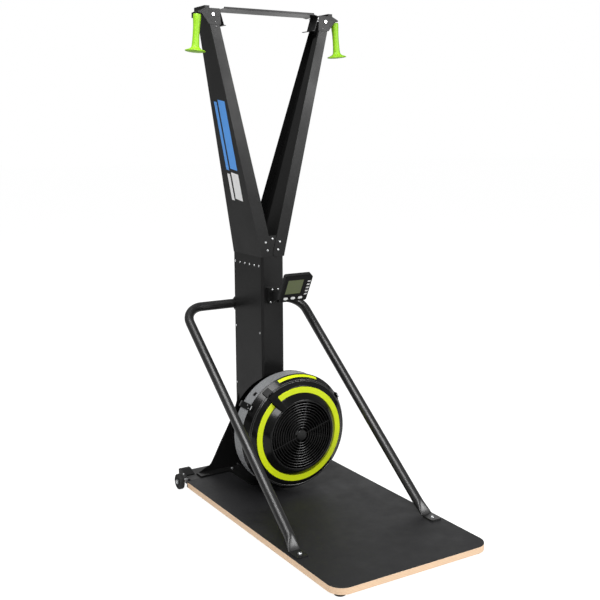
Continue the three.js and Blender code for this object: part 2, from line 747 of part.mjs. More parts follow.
function arms() {
  const sheetAcross = SHEET / Math.cos(Math.atan(ARM_SLOPE));
  const foot = BEND + CLEARANCE;
  const web = solid(prismY(outline([
    [HALF_COLUMN - sheetAcross, foot],
    [HALF_COLUMN, foot],
    [armOuter(ARM_RISE), ARM_TOP],
    [armOuter(ARM_RISE) - sheetAcross, ARM_TOP],
  ]), -SHEET, COLUMN_DEPTH));
  const front = solid(prismY(armFlange(ARM_FOOT_FLANGE, ARM_TOP_FLANGE), -SHEET, 0));
  const rearPrism = solid(prismY(armFlange(ARM_FOOT_REAR_FLANGE, ARM_TOP_REAR_FLANGE), 0, COLUMN_DEPTH));

  // The rear edge runs forwards as it rises
  const taper = outline([
    [COLUMN_DEPTH, foot],
    [ARM_TOP_DEPTH, ARM_TOP],
    [ARM_TOP_DEPTH - SHEET, ARM_TOP],
    [COLUMN_DEPTH - SHEET, foot],
  ]);
  const rear = rearPrism.intersect(solid(prismX(taper, 0, armOuter(ARM_RISE) + OVERRUN)));
  const behind = outline([
    [COLUMN_DEPTH, foot],
    [COLUMN_DEPTH + OVERRUN, foot - OVERRUN],
    [COLUMN_DEPTH + OVERRUN, ARM_TOP + OVERRUN],
    [ARM_TOP_DEPTH, ARM_TOP + OVERRUN],
    [ARM_TOP_DEPTH, ARM_TOP],
  ]);
  const trimmedWeb = web.subtract(solid(prismX(behind, 0, armOuter(ARM_RISE) + OVERRUN)));

  // The return lip on the front flange starts above the column's front plate. It is deep at its foot,
  // gets narrower as it rises and stops below the pulley, where only a low rim goes on.
  const lipFoot = FRONT_PLATE_RISE + CLEARANCE * 2;
  const lipStart = flangeEdge(ARM_FOOT_FLANGE, ARM_TOP_FLANGE, lipFoot);
  const lipEnd = flangeEdge(ARM_FOOT_FLANGE, ARM_TOP_FLANGE, ARM_RISE);
  const lipSheet = solid(prismY(outline([
    [lipStart, BEND + lipFoot],
    [lipStart + SHEET, BEND + lipFoot],
    [lipEnd + SHEET, ARM_TOP],
    [lipEnd, ARM_TOP],
  ]), -SHEET, ARM_LIP_FOOT));
  const lipSide = outline([
    [-SHEET, BEND + lipFoot],
    [ARM_LIP_FOOT, BEND + lipFoot],
    [ARM_LIP_HEAD, ARM_TOP - ARM_LIP_STOP],
    [ARM_LIP, ARM_TOP - ARM_LIP_STOP + ARM_LIP],
    [ARM_LIP, ARM_TOP],
    [-SHEET, ARM_TOP],
  ]);
  const lip = lipSheet.intersect(solid(prismX(lipSide, 0, armOuter(ARM_RISE))));

  // The tab inside the column, stepped in by one sheet
  const tabOuter = HALF_COLUMN - SHEET - CLEARANCE;
  const tab = solid(box(
    [tabOuter - SHEET, ARM_TAB_INSET, BEND - ARM_TAB],
    [tabOuter, COLUMN_DEPTH - ARM_TAB_INSET, foot + SHEET],
  ));
  const step = solid(box(
    [tabOuter - SHEET, ARM_TAB_INSET, foot],
    [HALF_COLUMN - SHEET / 2, COLUMN_DEPTH - ARM_TAB_INSET, foot + SHEET],
  ));
  const pinHole = solid(rodY(PIN_RADIUS + CLEARANCE, -OVERRUN, ARM_LIP, PULLEY_X, PULLEY_Z, SMALL_ROUND));
  // The cord leaves over the top of the web
  const notch = solid(box(
    [armOuter(ARM_RISE) - OVERRUN / 2, CORD_PLANE - CORD_SLOT_HALF, ARM_TOP - CORD_NOTCH],
    [armOuter(ARM_RISE) + OVERRUN, CORD_PLANE + CORD_SLOT_HALF, ARM_TOP + OVERRUN],
  ));
  const arm = join(trimmedWeb, front, rear, lip, tab, step);
  addPair('arm', geometryOf(cut(arm, pinHole, notch)), BLACK_PAINT);
}

// Brackets, crossbar and top pulleys. Heights here are measured from the top of the arms.
const BRACKET_TOP = ARM_TOP + BRACKET_RISE;
const BRACKET_OUTER = armOuter(ARM_RISE) + BRACKET_OVERHANG;
const BRACKET_BOX_INNER = BRACKET_OUTER - BRACKET_BOX;
const BRACKET_INNER = armOuter(ARM_RISE) - ARM_TOP_FLANGE - BRACKET_INNER_GAP;
const BRACKET_FRONT = -SHEET * 2 - CLEARANCE;
const HOOD_OUTER = BRACKET_OUTER + HOOD_REACH;
const HOOD_TOP = BRACKET_TOP - HOOD_STEP;
const HOOD_EDGE = ARM_TOP - HOOD_DROP;
const LIP_LOW = ARM_TOP - LIP_DROP;
const PULLEY_X = armOuter(ARM_RISE) - TOP_PULLEY_INSET;
const PULLEY_Z = ARM_TOP - TOP_PULLEY_DROP;

function brackets() {
  const skirtFoot = ARM_TOP - BRACKET_SKIRT;
  const shoulder = ARM_TOP + BRACKET_SHOULDER;
  const face = outline([
    [flangeEdge(ARM_FOOT_FLANGE, ARM_TOP_FLANGE, ARM_RISE - BRACKET_SKIRT) - BRACKET_FLARE, skirtFoot],
    [armOuter(ARM_RISE - BRACKET_SKIRT) + BRACKET_FLARE, skirtFoot],
    [HOOD_OUTER - HOOD_TOE, LIP_LOW],
    [HOOD_OUTER, LIP_LOW],
    [HOOD_OUTER, HOOD_EDGE],
    [BRACKET_OUTER, HOOD_TOP],
    [BRACKET_OUTER, BRACKET_TOP],
    [BRACKET_BOX_INNER, BRACKET_TOP],
    [BRACKET_BOX_INNER, shoulder],
    [BRACKET_INNER, shoulder],
  ]);
  hole(face, PULLEY_X, PULLEY_Z, PIN_RADIUS + CLEARANCE);
  const plate = solid(prismY(face, BRACKET_FRONT, -SHEET - CLEARANCE));
  const roof = solid(box(
    [BRACKET_BOX_INNER, BRACKET_FRONT, BRACKET_TOP - SHEET],
    [BRACKET_OUTER, ARM_TOP_DEPTH, BRACKET_TOP],
  ));
  const wall = solid(box(
    [BRACKET_OUTER - SHEET, BRACKET_FRONT, ARM_TOP - BRACKET_WALL_DROP],
    [BRACKET_OUTER, ARM_TOP_DEPTH, BRACKET_TOP],
  ));

  // The sloped hood over the cord, its skirt behind the handle and the lip that the handle rests under
  const hoodRear = BRACKET_FRONT + HOOD_DEPTH;
  const hood = solid(prismY(outline([
    [BRACKET_OUTER - SHEET, HOOD_TOP],
    [HOOD_OUTER, HOOD_EDGE],
    [HOOD_OUTER, HOOD_EDGE - SHEET],
    [BRACKET_OUTER - SHEET, HOOD_TOP - SHEET],
  ]), BRACKET_FRONT, hoodRear));
  const skirtFront = BRACKET_FRONT + HOOD_SKIRT_SETBACK;
  const skirt = solid(box(
    [HOOD_OUTER - SHEET, skirtFront, HOOD_EDGE - HOOD_SKIRT],
    [HOOD_OUTER, hoodRear, HOOD_EDGE],
  ));
  const lip = solid(box(
    [HOOD_OUTER - LIP_REACH, BRACKET_FRONT, LIP_LOW],
    [HOOD_OUTER, skirtFront + SHEET, LIP_LOW + LIP_SHEET],
  ));
  const cordSlot = solid(box(
    [HOOD_OUTER - LIP_REACH - OVERRUN, CORD_PLANE - CORD_SLOT_HALF, LIP_LOW - LIP_SHEET],
    [HANDLE_OFFSET + CORD_SLOT_END, CORD_PLANE + CORD_SLOT_HALF, LIP_LOW + LIP_SHEET * 2],
  ));
  const cordWindow = solid(box(
    [BRACKET_OUTER - SHEET * 2, CORD_PLANE - CORD_SLOT_HALF, LIP_LOW],
    [BRACKET_OUTER + SHEET, CORD_PLANE + CORD_SLOT_HALF, HOOD_TOP - SHEET * 2],
  ));

  // The ear that holds the rear end of the pulley's pin
  const earFront = CORD_PLANE + PULLEY_WIDTH / 2 + PULLEY_EAR_GAP;
  const ear = outline([
    [PULLEY_X - PIN_HEAD_RADIUS, PULLEY_Z - PIN_HEAD_RADIUS],
    [PULLEY_X + PIN_HEAD_RADIUS, PULLEY_Z - PIN_HEAD_RADIUS],
    [PULLEY_X + PIN_HEAD_RADIUS, ARM_TOP + SHEET],
    [BRACKET_OUTER - SHEET / 2, ARM_TOP + SHEET],
    [BRACKET_OUTER - SHEET / 2, shoulder],
    [PULLEY_X - PIN_HEAD_RADIUS, shoulder],
  ]);
  hole(ear, PULLEY_X, PULLEY_Z, PIN_RADIUS + CLEARANCE);
  const rearEar = solid(prismY(ear, earFront, earFront + SHEET));
  const bracket = cut(join(plate, roof, wall, hood, skirt, lip, rearEar), cordSlot, cordWindow);
  addPair('pulley_bracket', geometryOf(bracket), BLACK_PAINT);

  const pinFrom = BRACKET_FRONT - PIN_HEAD;
  const pin = turnedY([
    [0, pinFrom],
    [PIN_HEAD_RADIUS, pinFrom],
    [PIN_HEAD_RADIUS, BRACKET_FRONT - CLEARANCE],
    [PIN_RADIUS, BRACKET_FRONT - CLEARANCE],
    [PIN_RADIUS, earFront + SHEET * 2],
    [0, earFront + SHEET * 2],
  ], PULLEY_X, PULLEY_Z, SMALL_ROUND);
  addPair('top_pulley_pin', geometryOf(solid(pin)), BRIGHT_STEEL);
}

function crossbar() {
  const end = BRACKET_INNER;
  const flat = end - CROSSBAR_SLOPE;
  const top = BRACKET_TOP;
  const bed = top - CROSSBAR_LIP;
  const low = bed - CROSSBAR_DROP;
  const plate = prismY(outline([
    [-end, low],
    [-flat, bed],
    [flat, bed],
    [end, low],
    [end - SHEET, low - SHEET / 2],
    [flat - SHEET / 2, bed - SHEET],
    [-flat + SHEET / 2, bed - SHEET],
    [-end + SHEET, low - SHEET / 2],
  ]), 0, ARM_TOP_DEPTH);
  plate.applyMatrix4(new THREE.Matrix4().makeShear(0, 0, 0, -CROSSBAR_FALL / ARM_TOP_DEPTH, 0, 0));
  const lip = solid(prismY(outline([
    [-flat, bed - SHEET / 2],
    [flat, bed - SHEET / 2],
    [flat - CROSSBAR_LIP / 2, top],
    [-flat + CROSSBAR_LIP / 2, top],
  ]), 0, SHEET));

  // At each end a leaning tab with a foot strip, and an ear that lies on the top of the arm
  const tabFoot = low - CROSSBAR_TAB;
  const footX = end - CROSSBAR_TAB_LEAN;
  const tab = prismY(outline([
    [end, low],
    [footX, tabFoot],
    [footX - SHEET, tabFoot],
    [end - SHEET, low - SHEET / 2],
  ]), 0, CROSSBAR_TAB_DEPTH);
  const strip = box(
    [footX - CROSSBAR_FOOT_WIDTH, 0, tabFoot],
    [footX, CROSSBAR_FOOT_DEPTH, tabFoot + SHEET],
  );
  const earLow = ARM_TOP + CLEARANCE;
  const ear = box(
    [end - SHEET * 2 - CROSSBAR_SLOPE / 4, CROSSBAR_EAR_SETBACK, earLow],
    [end + CROSSBAR_EAR_REACH, CROSSBAR_TAB_DEPTH, earLow + SHEET],
  );
  const ends = [tab, strip, ear].map(solid);
  const others = ends.map((piece) => solid(mirrored(geometryOf(piece))));
  add('crossbar', geometryOf(join(solid(plate), lip, ...ends, ...others)), BLACK_PAINT);
}

function pulleyProfile(radius, groove, bore) {
  const low = CORD_PLANE - PULLEY_WIDTH / 2;
  const high = CORD_PLANE + PULLEY_WIDTH / 2;
  return [
    [bore, low],
    [radius, low],
    [radius, low + PULLEY_FLANGE],
    [groove, CORD_PLANE - PULLEY_FLANGE],
    [groove, CORD_PLANE + PULLEY_FLANGE],
    [radius, high - PULLEY_FLANGE],
    [radius, high],
    [bore, high],
  ];
}

function pulleys() {
  const bore = PIN_RADIUS + CLEARANCE;
  const top = turnedY(pulleyProfile(TOP_PULLEY_RADIUS, TOP_PULLEY_GROOVE, bore), PULLEY_X, PULLEY_Z, ROUND);
  addPair('top_pulley', geometryOf(solid(top)), BLACK_PLASTIC);
  const idlerX = CORD_RUN + IDLER_GROOVE + CLEARANCE + CORD_RADIUS;
  const idler = turnedY(pulleyProfile(IDLER_RADIUS, IDLER_GROOVE, bore), idlerX, BEND + IDLER_RISE, ROUND);
  addPair('idler_pulley', geometryOf(solid(idler)), BLACK_PLASTIC);
}

// Drive cords: from the spool up past the idler, along the arm, over the top pulley, out through the
// bracket's lip and down to the handle
const HANDLE_TOP = LIP_LOW - HANDLE_GAP;

function spoolMiddle(side) {
  const start = side < 0 ? SPOOL_START : SPOOL_START + SPOOL_PITCH;
  return start + SPOOL_FLANGE + SPOOL_PACK / 2;
}

function arcPoints(x, z, radius, from, to, steps, y) {
  const points = [];
  for (let i = 0; i <= steps; i += 1) {
    const angle = from + ((to - from) * i) / steps;
    points.push(new THREE.Vector3(x + radius * Math.cos(angle), y, z + radius * Math.sin(angle)));
  }
  return points;
}

function cordRoute(side) {
  const idlerPath = IDLER_GROOVE + CLEARANCE + CORD_RADIUS;
  const topPath = TOP_PULLEY_GROOVE + CLEARANCE + CORD_RADIUS;
  const idlerX = CORD_RUN + idlerPath;
  const idlerZ = BEND + IDLER_RISE;
  const rise = Math.atan2(PULLEY_X - idlerX, PULLEY_Z - idlerZ);
  const lean = rise + Math.asin((topPath - idlerPath) / Math.hypot(PULLEY_X - idlerX, PULLEY_Z - idlerZ));
  const spoolY = spoolMiddle(side);
  const low = AXLE_HEIGHT;
  const high = idlerZ;
  // Both spools turn the same way, so both cords leave them on the same side
  const riseShares = [0, 0.25, 0.5, 0.75];
  const points = riseShares.map((share) => new THREE.Vector3(
    CORD_RUN * (side + (1 - side) * share),
    spoolY + (CORD_PLANE - spoolY) * share,
    low + (high - low) * share,
  ));
  points.push(...arcPoints(idlerX, idlerZ, idlerPath, Math.PI, Math.PI - lean, 2, CORD_PLANE));
  const leave = points[points.length - 1];
  const arrive = arcPoints(PULLEY_X, PULLEY_Z, topPath, Math.PI - lean, Math.PI - lean, 1, CORD_PLANE)[0];
  const armShares = [0.2, 0.4, 0.6, 0.8];
  for (const share of armShares) points.push(leave.clone().lerp(arrive, share));

  // Over the pulley, out under the hood and down through the slot to the handle
  const up = new THREE.Vector3(-Math.sin(HANDLE_LEAN), 0, Math.cos(HANDLE_LEAN));
  const end = new THREE.Vector3(HANDLE_OFFSET, CORD_PLANE, HANDLE_TOP + CLEARANCE);
  const corner = end.clone().addScaledVector(up, CORD_TURN);
  const away = Math.hypot(corner.x - PULLEY_X, corner.z - PULLEY_Z);
  const exit = Math.atan2(corner.z - PULLEY_Z, corner.x - PULLEY_X) + Math.acos(topPath / away);
  points.push(...arcPoints(PULLEY_X, PULLEY_Z, topPath, Math.PI - lean, exit, 6, CORD_PLANE));
  points.push(...fillet(points[points.length - 1], corner, end, CORD_TURN, 3));
  points.push(end);
  return points.map((point) => point.clone().setX(side * point.x));
}

function driveCords() {
  add('drive_cord_left', geometryOf(solid(tube(cordRoute(-1), CORD_RADIUS, CORD_SIDES))), CORD);
  add('drive_cord_right', geometryOf(solid(tube(cordRoute(1), CORD_RADIUS, CORD_SIDES))), CORD);
}

function handles() {
  // The grip's radius at shares of its length from the top
  const radii = [
    0,
    HANDLE_TOP_RADIUS - HANDLE_FLARE_EDGE,
    HANDLE_TOP_RADIUS,
    HANDLE_TOP_RADIUS,
    (HANDLE_TOP_RADIUS + HANDLE_WAIST_RADIUS) / 2,
    HANDLE_WAIST_RADIUS,
    HANDLE_WAIST_RADIUS,
    HANDLE_GRIP_RADIUS,
    HANDLE_GRIP_RADIUS,
    HANDLE_NECK_RADIUS,
    HANDLE_SKIRT_RADIUS,
    HANDLE_FLARE_RADIUS - HANDLE_FLARE_EDGE,
    HANDLE_FLARE_RADIUS,
    HANDLE_FLARE_RADIUS - HANDLE_FLARE_EDGE,
    HANDLE_MOUTH_RADIUS,
    0,
  ];
  const shares = [0, 0, 0.02, 0.12, 0.24, 0.42, 0.55, 0.72, 0.82, 0.875, 0.92, 0.945, 0.96, 0.985, 1, 1];
  const profile = radii.map((radius, i) => [radius, HANDLE_LENGTH * shares[i]]);
  for (const side of [-1, 1]) {
    const geometry = turnedY(profile, 0, 0, ROUND);
    geometry.rotateX(-Math.PI / 2);
    geometry.rotateY(-side * HANDLE_LEAN);
    geometry.translate(side * HANDLE_OFFSET, CORD_PLANE, HANDLE_TOP);
    add(side < 0 ? 'handle_left' : 'handle_right', geometryOf(solid(geometry)), GRIP_GREEN);
  }
}

// Front brace

function brace() {
  const top = new THREE.Vector3(0, BRACE_SETBACK, BRACE_TOP);
  const corner = (side) => new THREE.Vector3(side * BRACE_TOP_HALF, BRACE_SETBACK, BRACE_TOP);
  const foot = (side) => new THREE.Vector3(side * BRACE_FOOT_HALF, -BRACE_FOOT_REACH, DECK + BRACE_PAD);
  const left = fillet(foot(-1), corner(-1), top, BRACE_BEND, 7);
  const right = fillet(top, corner(1), foot(1), BRACE_BEND, 7);
  const pipeStart = BRACE_SQUASH - BRACE_PAD;
  const pipeEnd = (side) => foot(side).lerp(corner(side), pipeStart / foot(side).distanceTo(corner(side)));
  const pipe = solid(tube([pipeEnd(-1), ...left, top, ...right, pipeEnd(1)], BRACE_RADIUS, SMALL_ROUND));
  const floor = solid(box(
    [-BOARD_WIDTH, BOARD_FRONT, -OVERRUN],
    [BOARD_WIDTH, BOARD_REAR, DECK],
  ));

  // Each foot: a flat pad, and the stretch where the tube is squashed down to it
  const rise = Math.atan2(BRACE_TOP - DECK - BRACE_PAD, BRACE_SETBACK + BRACE_FOOT_REACH);
  const padRear = -BRACE_FOOT_REACH;
  const start = [padRear + BRACE_SQUASH * Math.cos(rise), DECK + BRACE_PAD + BRACE_SQUASH * Math.sin(rise)];
  const inside = BRACE_RADIUS - CLEARANCE;
  const across = [inside * Math.sin(rise), inside * Math.cos(rise)];
  const wedge = prismX(outline([
    [padRear - BRACE_PAD, DECK - BRACE_PAD],
    [padRear - BRACE_PAD, DECK + BRACE_PAD - CLEARANCE],
    [start[0] - across[0], start[1] + across[1]],
    [start[0] + across[0], start[1] - across[1]],
    [padRear + BRACE_RADIUS, DECK - BRACE_PAD],
  ]), -BOARD_WIDTH, BOARD_WIDTH);
  const plan = (side) => prismZ(outline([
    [side * (BRACE_FOOT_HALF + BRACE_PAD_SHIFT) - BRACE_PAD_WIDTH / 2 + CLEARANCE, padRear - BRACE_PAD * 2],
    [side * (BRACE_FOOT_HALF + BRACE_PAD_SHIFT) + BRACE_PAD_WIDTH / 2 - CLEARANCE, padRear - BRACE_PAD * 2],
    [side * BRACE_FOOT_HALF + inside, start[0] + BRACE_RADIUS],
    [side * BRACE_FOOT_HALF - inside, start[0] + BRACE_RADIUS],
  ]), -BRACE_PAD, BRACE_TOP);
  const pad = (side) => box(
    [side * (BRACE_FOOT_HALF + BRACE_PAD_SHIFT) - BRACE_PAD_WIDTH / 2, padRear - BRACE_PAD_LENGTH, DECK],
    [side * (BRACE_FOOT_HALF + BRACE_PAD_SHIFT) + BRACE_PAD_WIDTH / 2, padRear, DECK + BRACE_PAD],
  );
  const feet = [-1, 1].flatMap((side) => [solid(pad(side)), solid(wedge).intersect(solid(plan(side)))]);
  add('brace_tube', geometryOf(cut(join(pipe, ...feet), floor)), BLACK_PAINT);

  const block = outline([
    [COLUMN_DEPTH, BRACE_TOP - CLAMP_HEIGHT / 2],
    [BRACE_SETBACK, BRACE_TOP - CLAMP_HEIGHT / 2],
    [BRACE_SETBACK + BRACE_RADIUS + CLAMP_WALL, BRACE_TOP - BRACE_RADIUS / 2],
    [BRACE_SETBACK + BRACE_RADIUS + CLAMP_WALL, BRACE_TOP + BRACE_RADIUS / 2],
    [BRACE_SETBACK, BRACE_TOP + CLAMP_HEIGHT / 2],
    [COLUMN_DEPTH, BRACE_TOP + CLAMP_HEIGHT / 2],
  ]);
  hole(block, BRACE_SETBACK, BRACE_TOP, BRACE_RADIUS + CLEARANCE);
  add('brace_clamp', geometryOf(solid(prismX(block, -CLAMP_WIDTH / 2, CLAMP_WIDTH / 2))), BLACK_PAINT);
}

// Flywheel housing

function housing() {
  const wall = HOUSING_WALL;
  const rear = [
    [AXLE_HOLE, 0],
    [REAR_WALL_RADIUS - REAR_EDGE_ROUND, 0],
    [REAR_WALL_RADIUS, -REAR_EDGE_ROUND],
    [BAND_REAR_RADIUS, -BAND_REAR],
    [BAND_REAR_RADIUS - wall, -BAND_REAR],
    [REAR_WALL_RADIUS - wall, -REAR_EDGE_ROUND - wall],
    [REAR_WALL_RADIUS - REAR_EDGE_ROUND - wall, -wall],
    [AXLE_HOLE, -wall],
  ];
  add('housing_rear', geometryOf(solid(turnedY(rear, 0, AXLE_HEIGHT, HOUSING_ROUND))), BLACK_PLASTIC);

  const band = [
    [BAND_REAR_RADIUS, -BAND_REAR],
    [BAND_FRONT_RADIUS, -BAND_FRONT],
    [BAND_FRONT_RADIUS - BAND_SHEET, -BAND_FRONT],
    [BAND_REAR_RADIUS - BAND_SHEET, -BAND_REAR],
  ];
  add('housing_band', geometryOf(solid(turnedY(band, 0, AXLE_HEIGHT, HOUSING_ROUND))), GREY_MESH);

  const ledge = GRILLE_FRONT - GRILLE_DEPTH;
  const coneTop = GRILLE_RADIUS + wall;
  const front = [
    [BAND_FRONT_RADIUS, -BAND_FRONT],
    [COWL_ARRIS_RADIUS, -COWL_ARRIS],
    [RING_OUTER + wall, -RING_SEAT],
    [RING_INNER - wall / 2, -RING_SEAT],
    [coneTop, -GRILLE_FRONT],
    [GRILLE_RADIUS, -GRILLE_FRONT],
    [GRILLE_RADIUS, -ledge],
    [GRILLE_RADIUS - GRILLE_RIM, -ledge],
    [GRILLE_RADIUS - GRILLE_RIM, -ledge + wall],
    [coneTop, -ledge + wall],
    [RING_INNER - wall * 2, -RING_SEAT + wall],
    [RING_OUTER + wall * 2, -RING_SEAT + wall],
    [COWL_ARRIS_RADIUS - wall, -COWL_ARRIS + wall],
    [BAND_FRONT_RADIUS - wall, -BAND_FRONT],
  ];
  add('housing_front', geometryOf(solid(turnedY(front, 0, AXLE_HEIGHT, HOUSING_ROUND))), BLACK_PLASTIC);

  const ring = [
    [RING_INNER, -RING_SEAT],
    [RING_OUTER, -RING_SEAT],
    [RING_OUTER, -RING_SEAT - RING_THICKNESS],
    [RING_INNER, -RING_SEAT - RING_THICKNESS],
  ];
  const gap = box(
    [-RING_GAP / 2, -GRILLE_FRONT, RING_INNER - OVERRUN],
    [RING_GAP / 2, 0, RING_OUTER + OVERRUN],
  );
  gap.rotateY(DAMPER_ANGLE);
  gap.translate(0, 0, AXLE_HEIGHT);
  const ringBody = solid(turnedY(ring, 0, AXLE_HEIGHT, HOUSING_ROUND));
  add('accent_ring', geometryOf(cut(ringBody, solid(gap))), LIME);
}

function grille() {
  const front = -GRILLE_FRONT + GRILLE_WIRE / 3;
  const rear = -GRILLE_FRONT + GRILLE_DEPTH;
  const wireRear = front + GRILLE_WIRE;
  const outer = GRILLE_RADIUS - CLEARANCE;
  const ringAt = (inner, rim, from, to, sides) => solid(turnedY(
    [[inner, from], [rim, from], [rim, to], [inner, to]],
    0,
    AXLE_HEIGHT,
    sides,
  ));
  const pieces = [ringAt(outer - GRILLE_RIM + CLEARANCE, outer, front, rear, HOUSING_ROUND)];
  const pitch = (outer - GRILLE_RIM - GRILLE_HUB_RADIUS) / (GRILLE_RINGS + 1);
  for (let i = 1; i <= GRILLE_RINGS; i += 1) {
    const middle = GRILLE_HUB_RADIUS + i * pitch;
    pieces.push(ringAt(middle - GRILLE_WIRE / 2, middle + GRILLE_WIRE / 2, front, wireRear, ROUND));
  }
  pieces.push(solid(rodY(GRILLE_HUB_RADIUS, front, wireRear + GRILLE_WIRE, 0, AXLE_HEIGHT, ROUND)));
  const half = GRILLE_SPOKE / 2;
  const reach = outer - GRILLE_RIM / 2;
  const spokeFront = front + GRILLE_WIRE / 3;
  for (const turn of [GRILLE_SPOKE_LOW, GRILLE_SPOKE_HIGH]) {
    const spoke = box([-reach, spokeFront, -half], [reach, wireRear, half]);
    spoke.rotateY(turn);
    spoke.translate(0, 0, AXLE_HEIGHT);
    pieces.push(solid(spoke));
  }
  add('fan_grille', geometryOf(join(...pieces)), BLACK_PLASTIC);
}

function damperLever() {
  const gap = RUNNING_CLEARANCE * 2;
  const over = RING_SEAT + RING_THICKNESS + gap;
  const nose = GRILLE_FRONT + RUNNING_CLEARANCE;
  const cone = GRILLE_RADIUS + HOUSING_WALL;
  const thick = LEVER_THICKNESS;
  const slope = (BAND_FRONT_RADIUS - COWL_ARRIS_RADIUS) / (COWL_ARRIS - BAND_FRONT);
  const end = BAND_FRONT_RADIUS - (LEVER_REAR - BAND_FRONT) * slope + gap * 2;
  const fold = COWL_ARRIS_RADIUS + gap;
  const foldPlace = COWL_ARRIS + gap;
  const profile = outline([
    [-nose, LEVER_TIP_RADIUS],
    [-nose, cone + HOUSING_WALL],
    [-over, RING_INNER + HOUSING_WALL],
    [-over, RING_OUTER + HOUSING_WALL],
    [-foldPlace - gap / 2, fold + gap / 2],
    [-LEVER_REAR, end],
    [-LEVER_REAR, end + thick],
    [-foldPlace - thick / 2, fold + thick],
    [-foldPlace - thick, fold + thick / 2],
    [-over - thick, RING_OUTER + HOUSING_WALL],
    [-nose - thick, cone + thick],
    [-nose - thick, LEVER_TIP_RADIUS + thick / 2],
  ]);
  const half = LEVER_WIDTH / 2;
  const tip = LEVER_TIP_WIDTH / 2;
  const middle = (RING_INNER + RING_OUTER) / 2;
  const plan = outline([
    [-tip + LEVER_TIP_ROUND, LEVER_TIP_RADIUS],
    [tip - LEVER_TIP_ROUND, LEVER_TIP_RADIUS],
    [tip, LEVER_TIP_RADIUS + LEVER_TIP_ROUND],
    [LEVER_RING_WIDTH / 2, middle],
    [half, COWL_ARRIS_RADIUS],
    [half, BAND_FRONT_RADIUS + OVERRUN],
    [-half, BAND_FRONT_RADIUS + OVERRUN],
    [-half, COWL_ARRIS_RADIUS],
    [-LEVER_RING_WIDTH / 2, middle],
    [-tip, LEVER_TIP_RADIUS + LEVER_TIP_ROUND],
  ]);
  const strip = solid(prismX(profile, -LEVER_WIDTH, LEVER_WIDTH));
  const lever = geometryOf(strip.intersect(solid(prismY(plan, -nose - OVERRUN, 0))));
  lever.rotateY(DAMPER_ANGLE);
  lever.translate(0, 0, AXLE_HEIGHT);
  add('damper_lever', lever, BLACK_PLASTIC);
}

// Drive: fan, axle, bearings and spools

function fan() {
  const bore = AXLE_RADIUS + CLEARANCE;
  const middle = -(FAN_FRONT + FAN_REAR) / 2;
  const hub = solid(turnedY([
    [bore, -FAN_FRONT],
    [FAN_HUB_RADIUS, -FAN_FRONT],
    [FAN_HUB_RADIUS, -FAN_REAR],
    [bore, -FAN_REAR],
  ], 0, AXLE_HEIGHT, ROUND));
  const disc = solid(turnedY([
    [bore, middle - FAN_DISC / 2],
    [FAN_RADIUS, middle - FAN_DISC / 2],
    [FAN_RADIUS, middle + FAN_DISC / 2],
    [bore, middle + FAN_DISC / 2],
  ], 0, AXLE_HEIGHT, HOUSING_ROUND));
  const pieces = [hub, disc];
  for (let i = 0; i < FAN_BLADES; i += 1) {
    const blade = box(
      [-FAN_BLADE / 2, -FAN_FRONT, FAN_BLADE_INNER],
      [FAN_BLADE / 2, -FAN_REAR, FAN_RADIUS - FAN_BLADE],
    );
    blade.rotateY((i / FAN_BLADES) * Math.PI * 2);
    blade.translate(0, 0, AXLE_HEIGHT);
    pieces.push(solid(blade));
  }
  add('fan_wheel', geometryOf(join(...pieces)), FAN_PLASTIC);
  const axle = rodY(AXLE_RADIUS, -AXLE_FRONT, AXLE_REAR, 0, AXLE_HEIGHT, ROUND);
  add('fan_axle', geometryOf(solid(axle)), BRIGHT_STEEL);
}

function bearings() {
  const bore = AXLE_RADIUS + CLEARANCE;
  const ring = (from) => geometryOf(solid(turnedY([
    [bore, from],
    [BEARING_RADIUS, from],
    [BEARING_RADIUS, from + BEARING_WIDTH],
    [bore, from + BEARING_WIDTH],
  ], 0, AXLE_HEIGHT, ROUND)));
  add('bearing_front', ring(SHEET), BRIGHT_STEEL);
  add('bearing_rear', ring(BRIDGE_SETBACK + BRIDGE_SHEET), BRIGHT_STEEL);
  const inner = HALF_COLUMN - SHEET;
  const plate = outline([
    [-inner, AXLE_HEIGHT - BRIDGE_HEIGHT / 2],
    [inner, AXLE_HEIGHT - BRIDGE_HEIGHT / 2],
    [inner, AXLE_HEIGHT + BRIDGE_HEIGHT / 2],
    [-inner, AXLE_HEIGHT + BRIDGE_HEIGHT / 2],
  ]);
  hole(plate, 0, AXLE_HEIGHT, AXLE_HOLE);
  const bridge = prismY(plate, BRIDGE_SETBACK, BRIDGE_SETBACK + BRIDGE_SHEET);
  add('bearing_bridge', geometryOf(solid(bridge)), BLACK_PAINT);
}

function spools() {
  const bore = AXLE_RADIUS + CLEARANCE;
  for (const side of [-1, 1]) {
    const start = side < 0 ? SPOOL_START : SPOOL_START + SPOOL_PITCH;
    const packEnd = start + SPOOL_FLANGE + SPOOL_PACK;
    const flangeEnd = packEnd + SPOOL_FLANGE;
    const bungeeEnd = flangeEnd + BUNGEE_PACK;
    const end = bungeeEnd + SPOOL_FLANGE;
    const profile = [
      [bore, start],
      [SPOOL_FLANGE_RADIUS, start],
      [SPOOL_FLANGE_RADIUS, start + SPOOL_FLANGE],
      [SPOOL_PACK_RADIUS, start + SPOOL_FLANGE],
      [SPOOL_PACK_RADIUS, packEnd],
      [SPOOL_FLANGE_RADIUS, packEnd],
      [SPOOL_FLANGE_RADIUS, flangeEnd],
      [BUNGEE_PACK_RADIUS, flangeEnd],
      [BUNGEE_PACK_RADIUS, bungeeEnd],
      [BUNGEE_FLANGE_RADIUS, bungeeEnd],
      [BUNGEE_FLANGE_RADIUS, end],
      [bore, end],
    ];
    const name = side < 0 ? 'cord_spool_left' : 'cord_spool_right';
    add(name, geometryOf(solid(turnedY(profile, 0, AXLE_HEIGHT, ROUND))), BLACK_PLASTIC);
  }
}

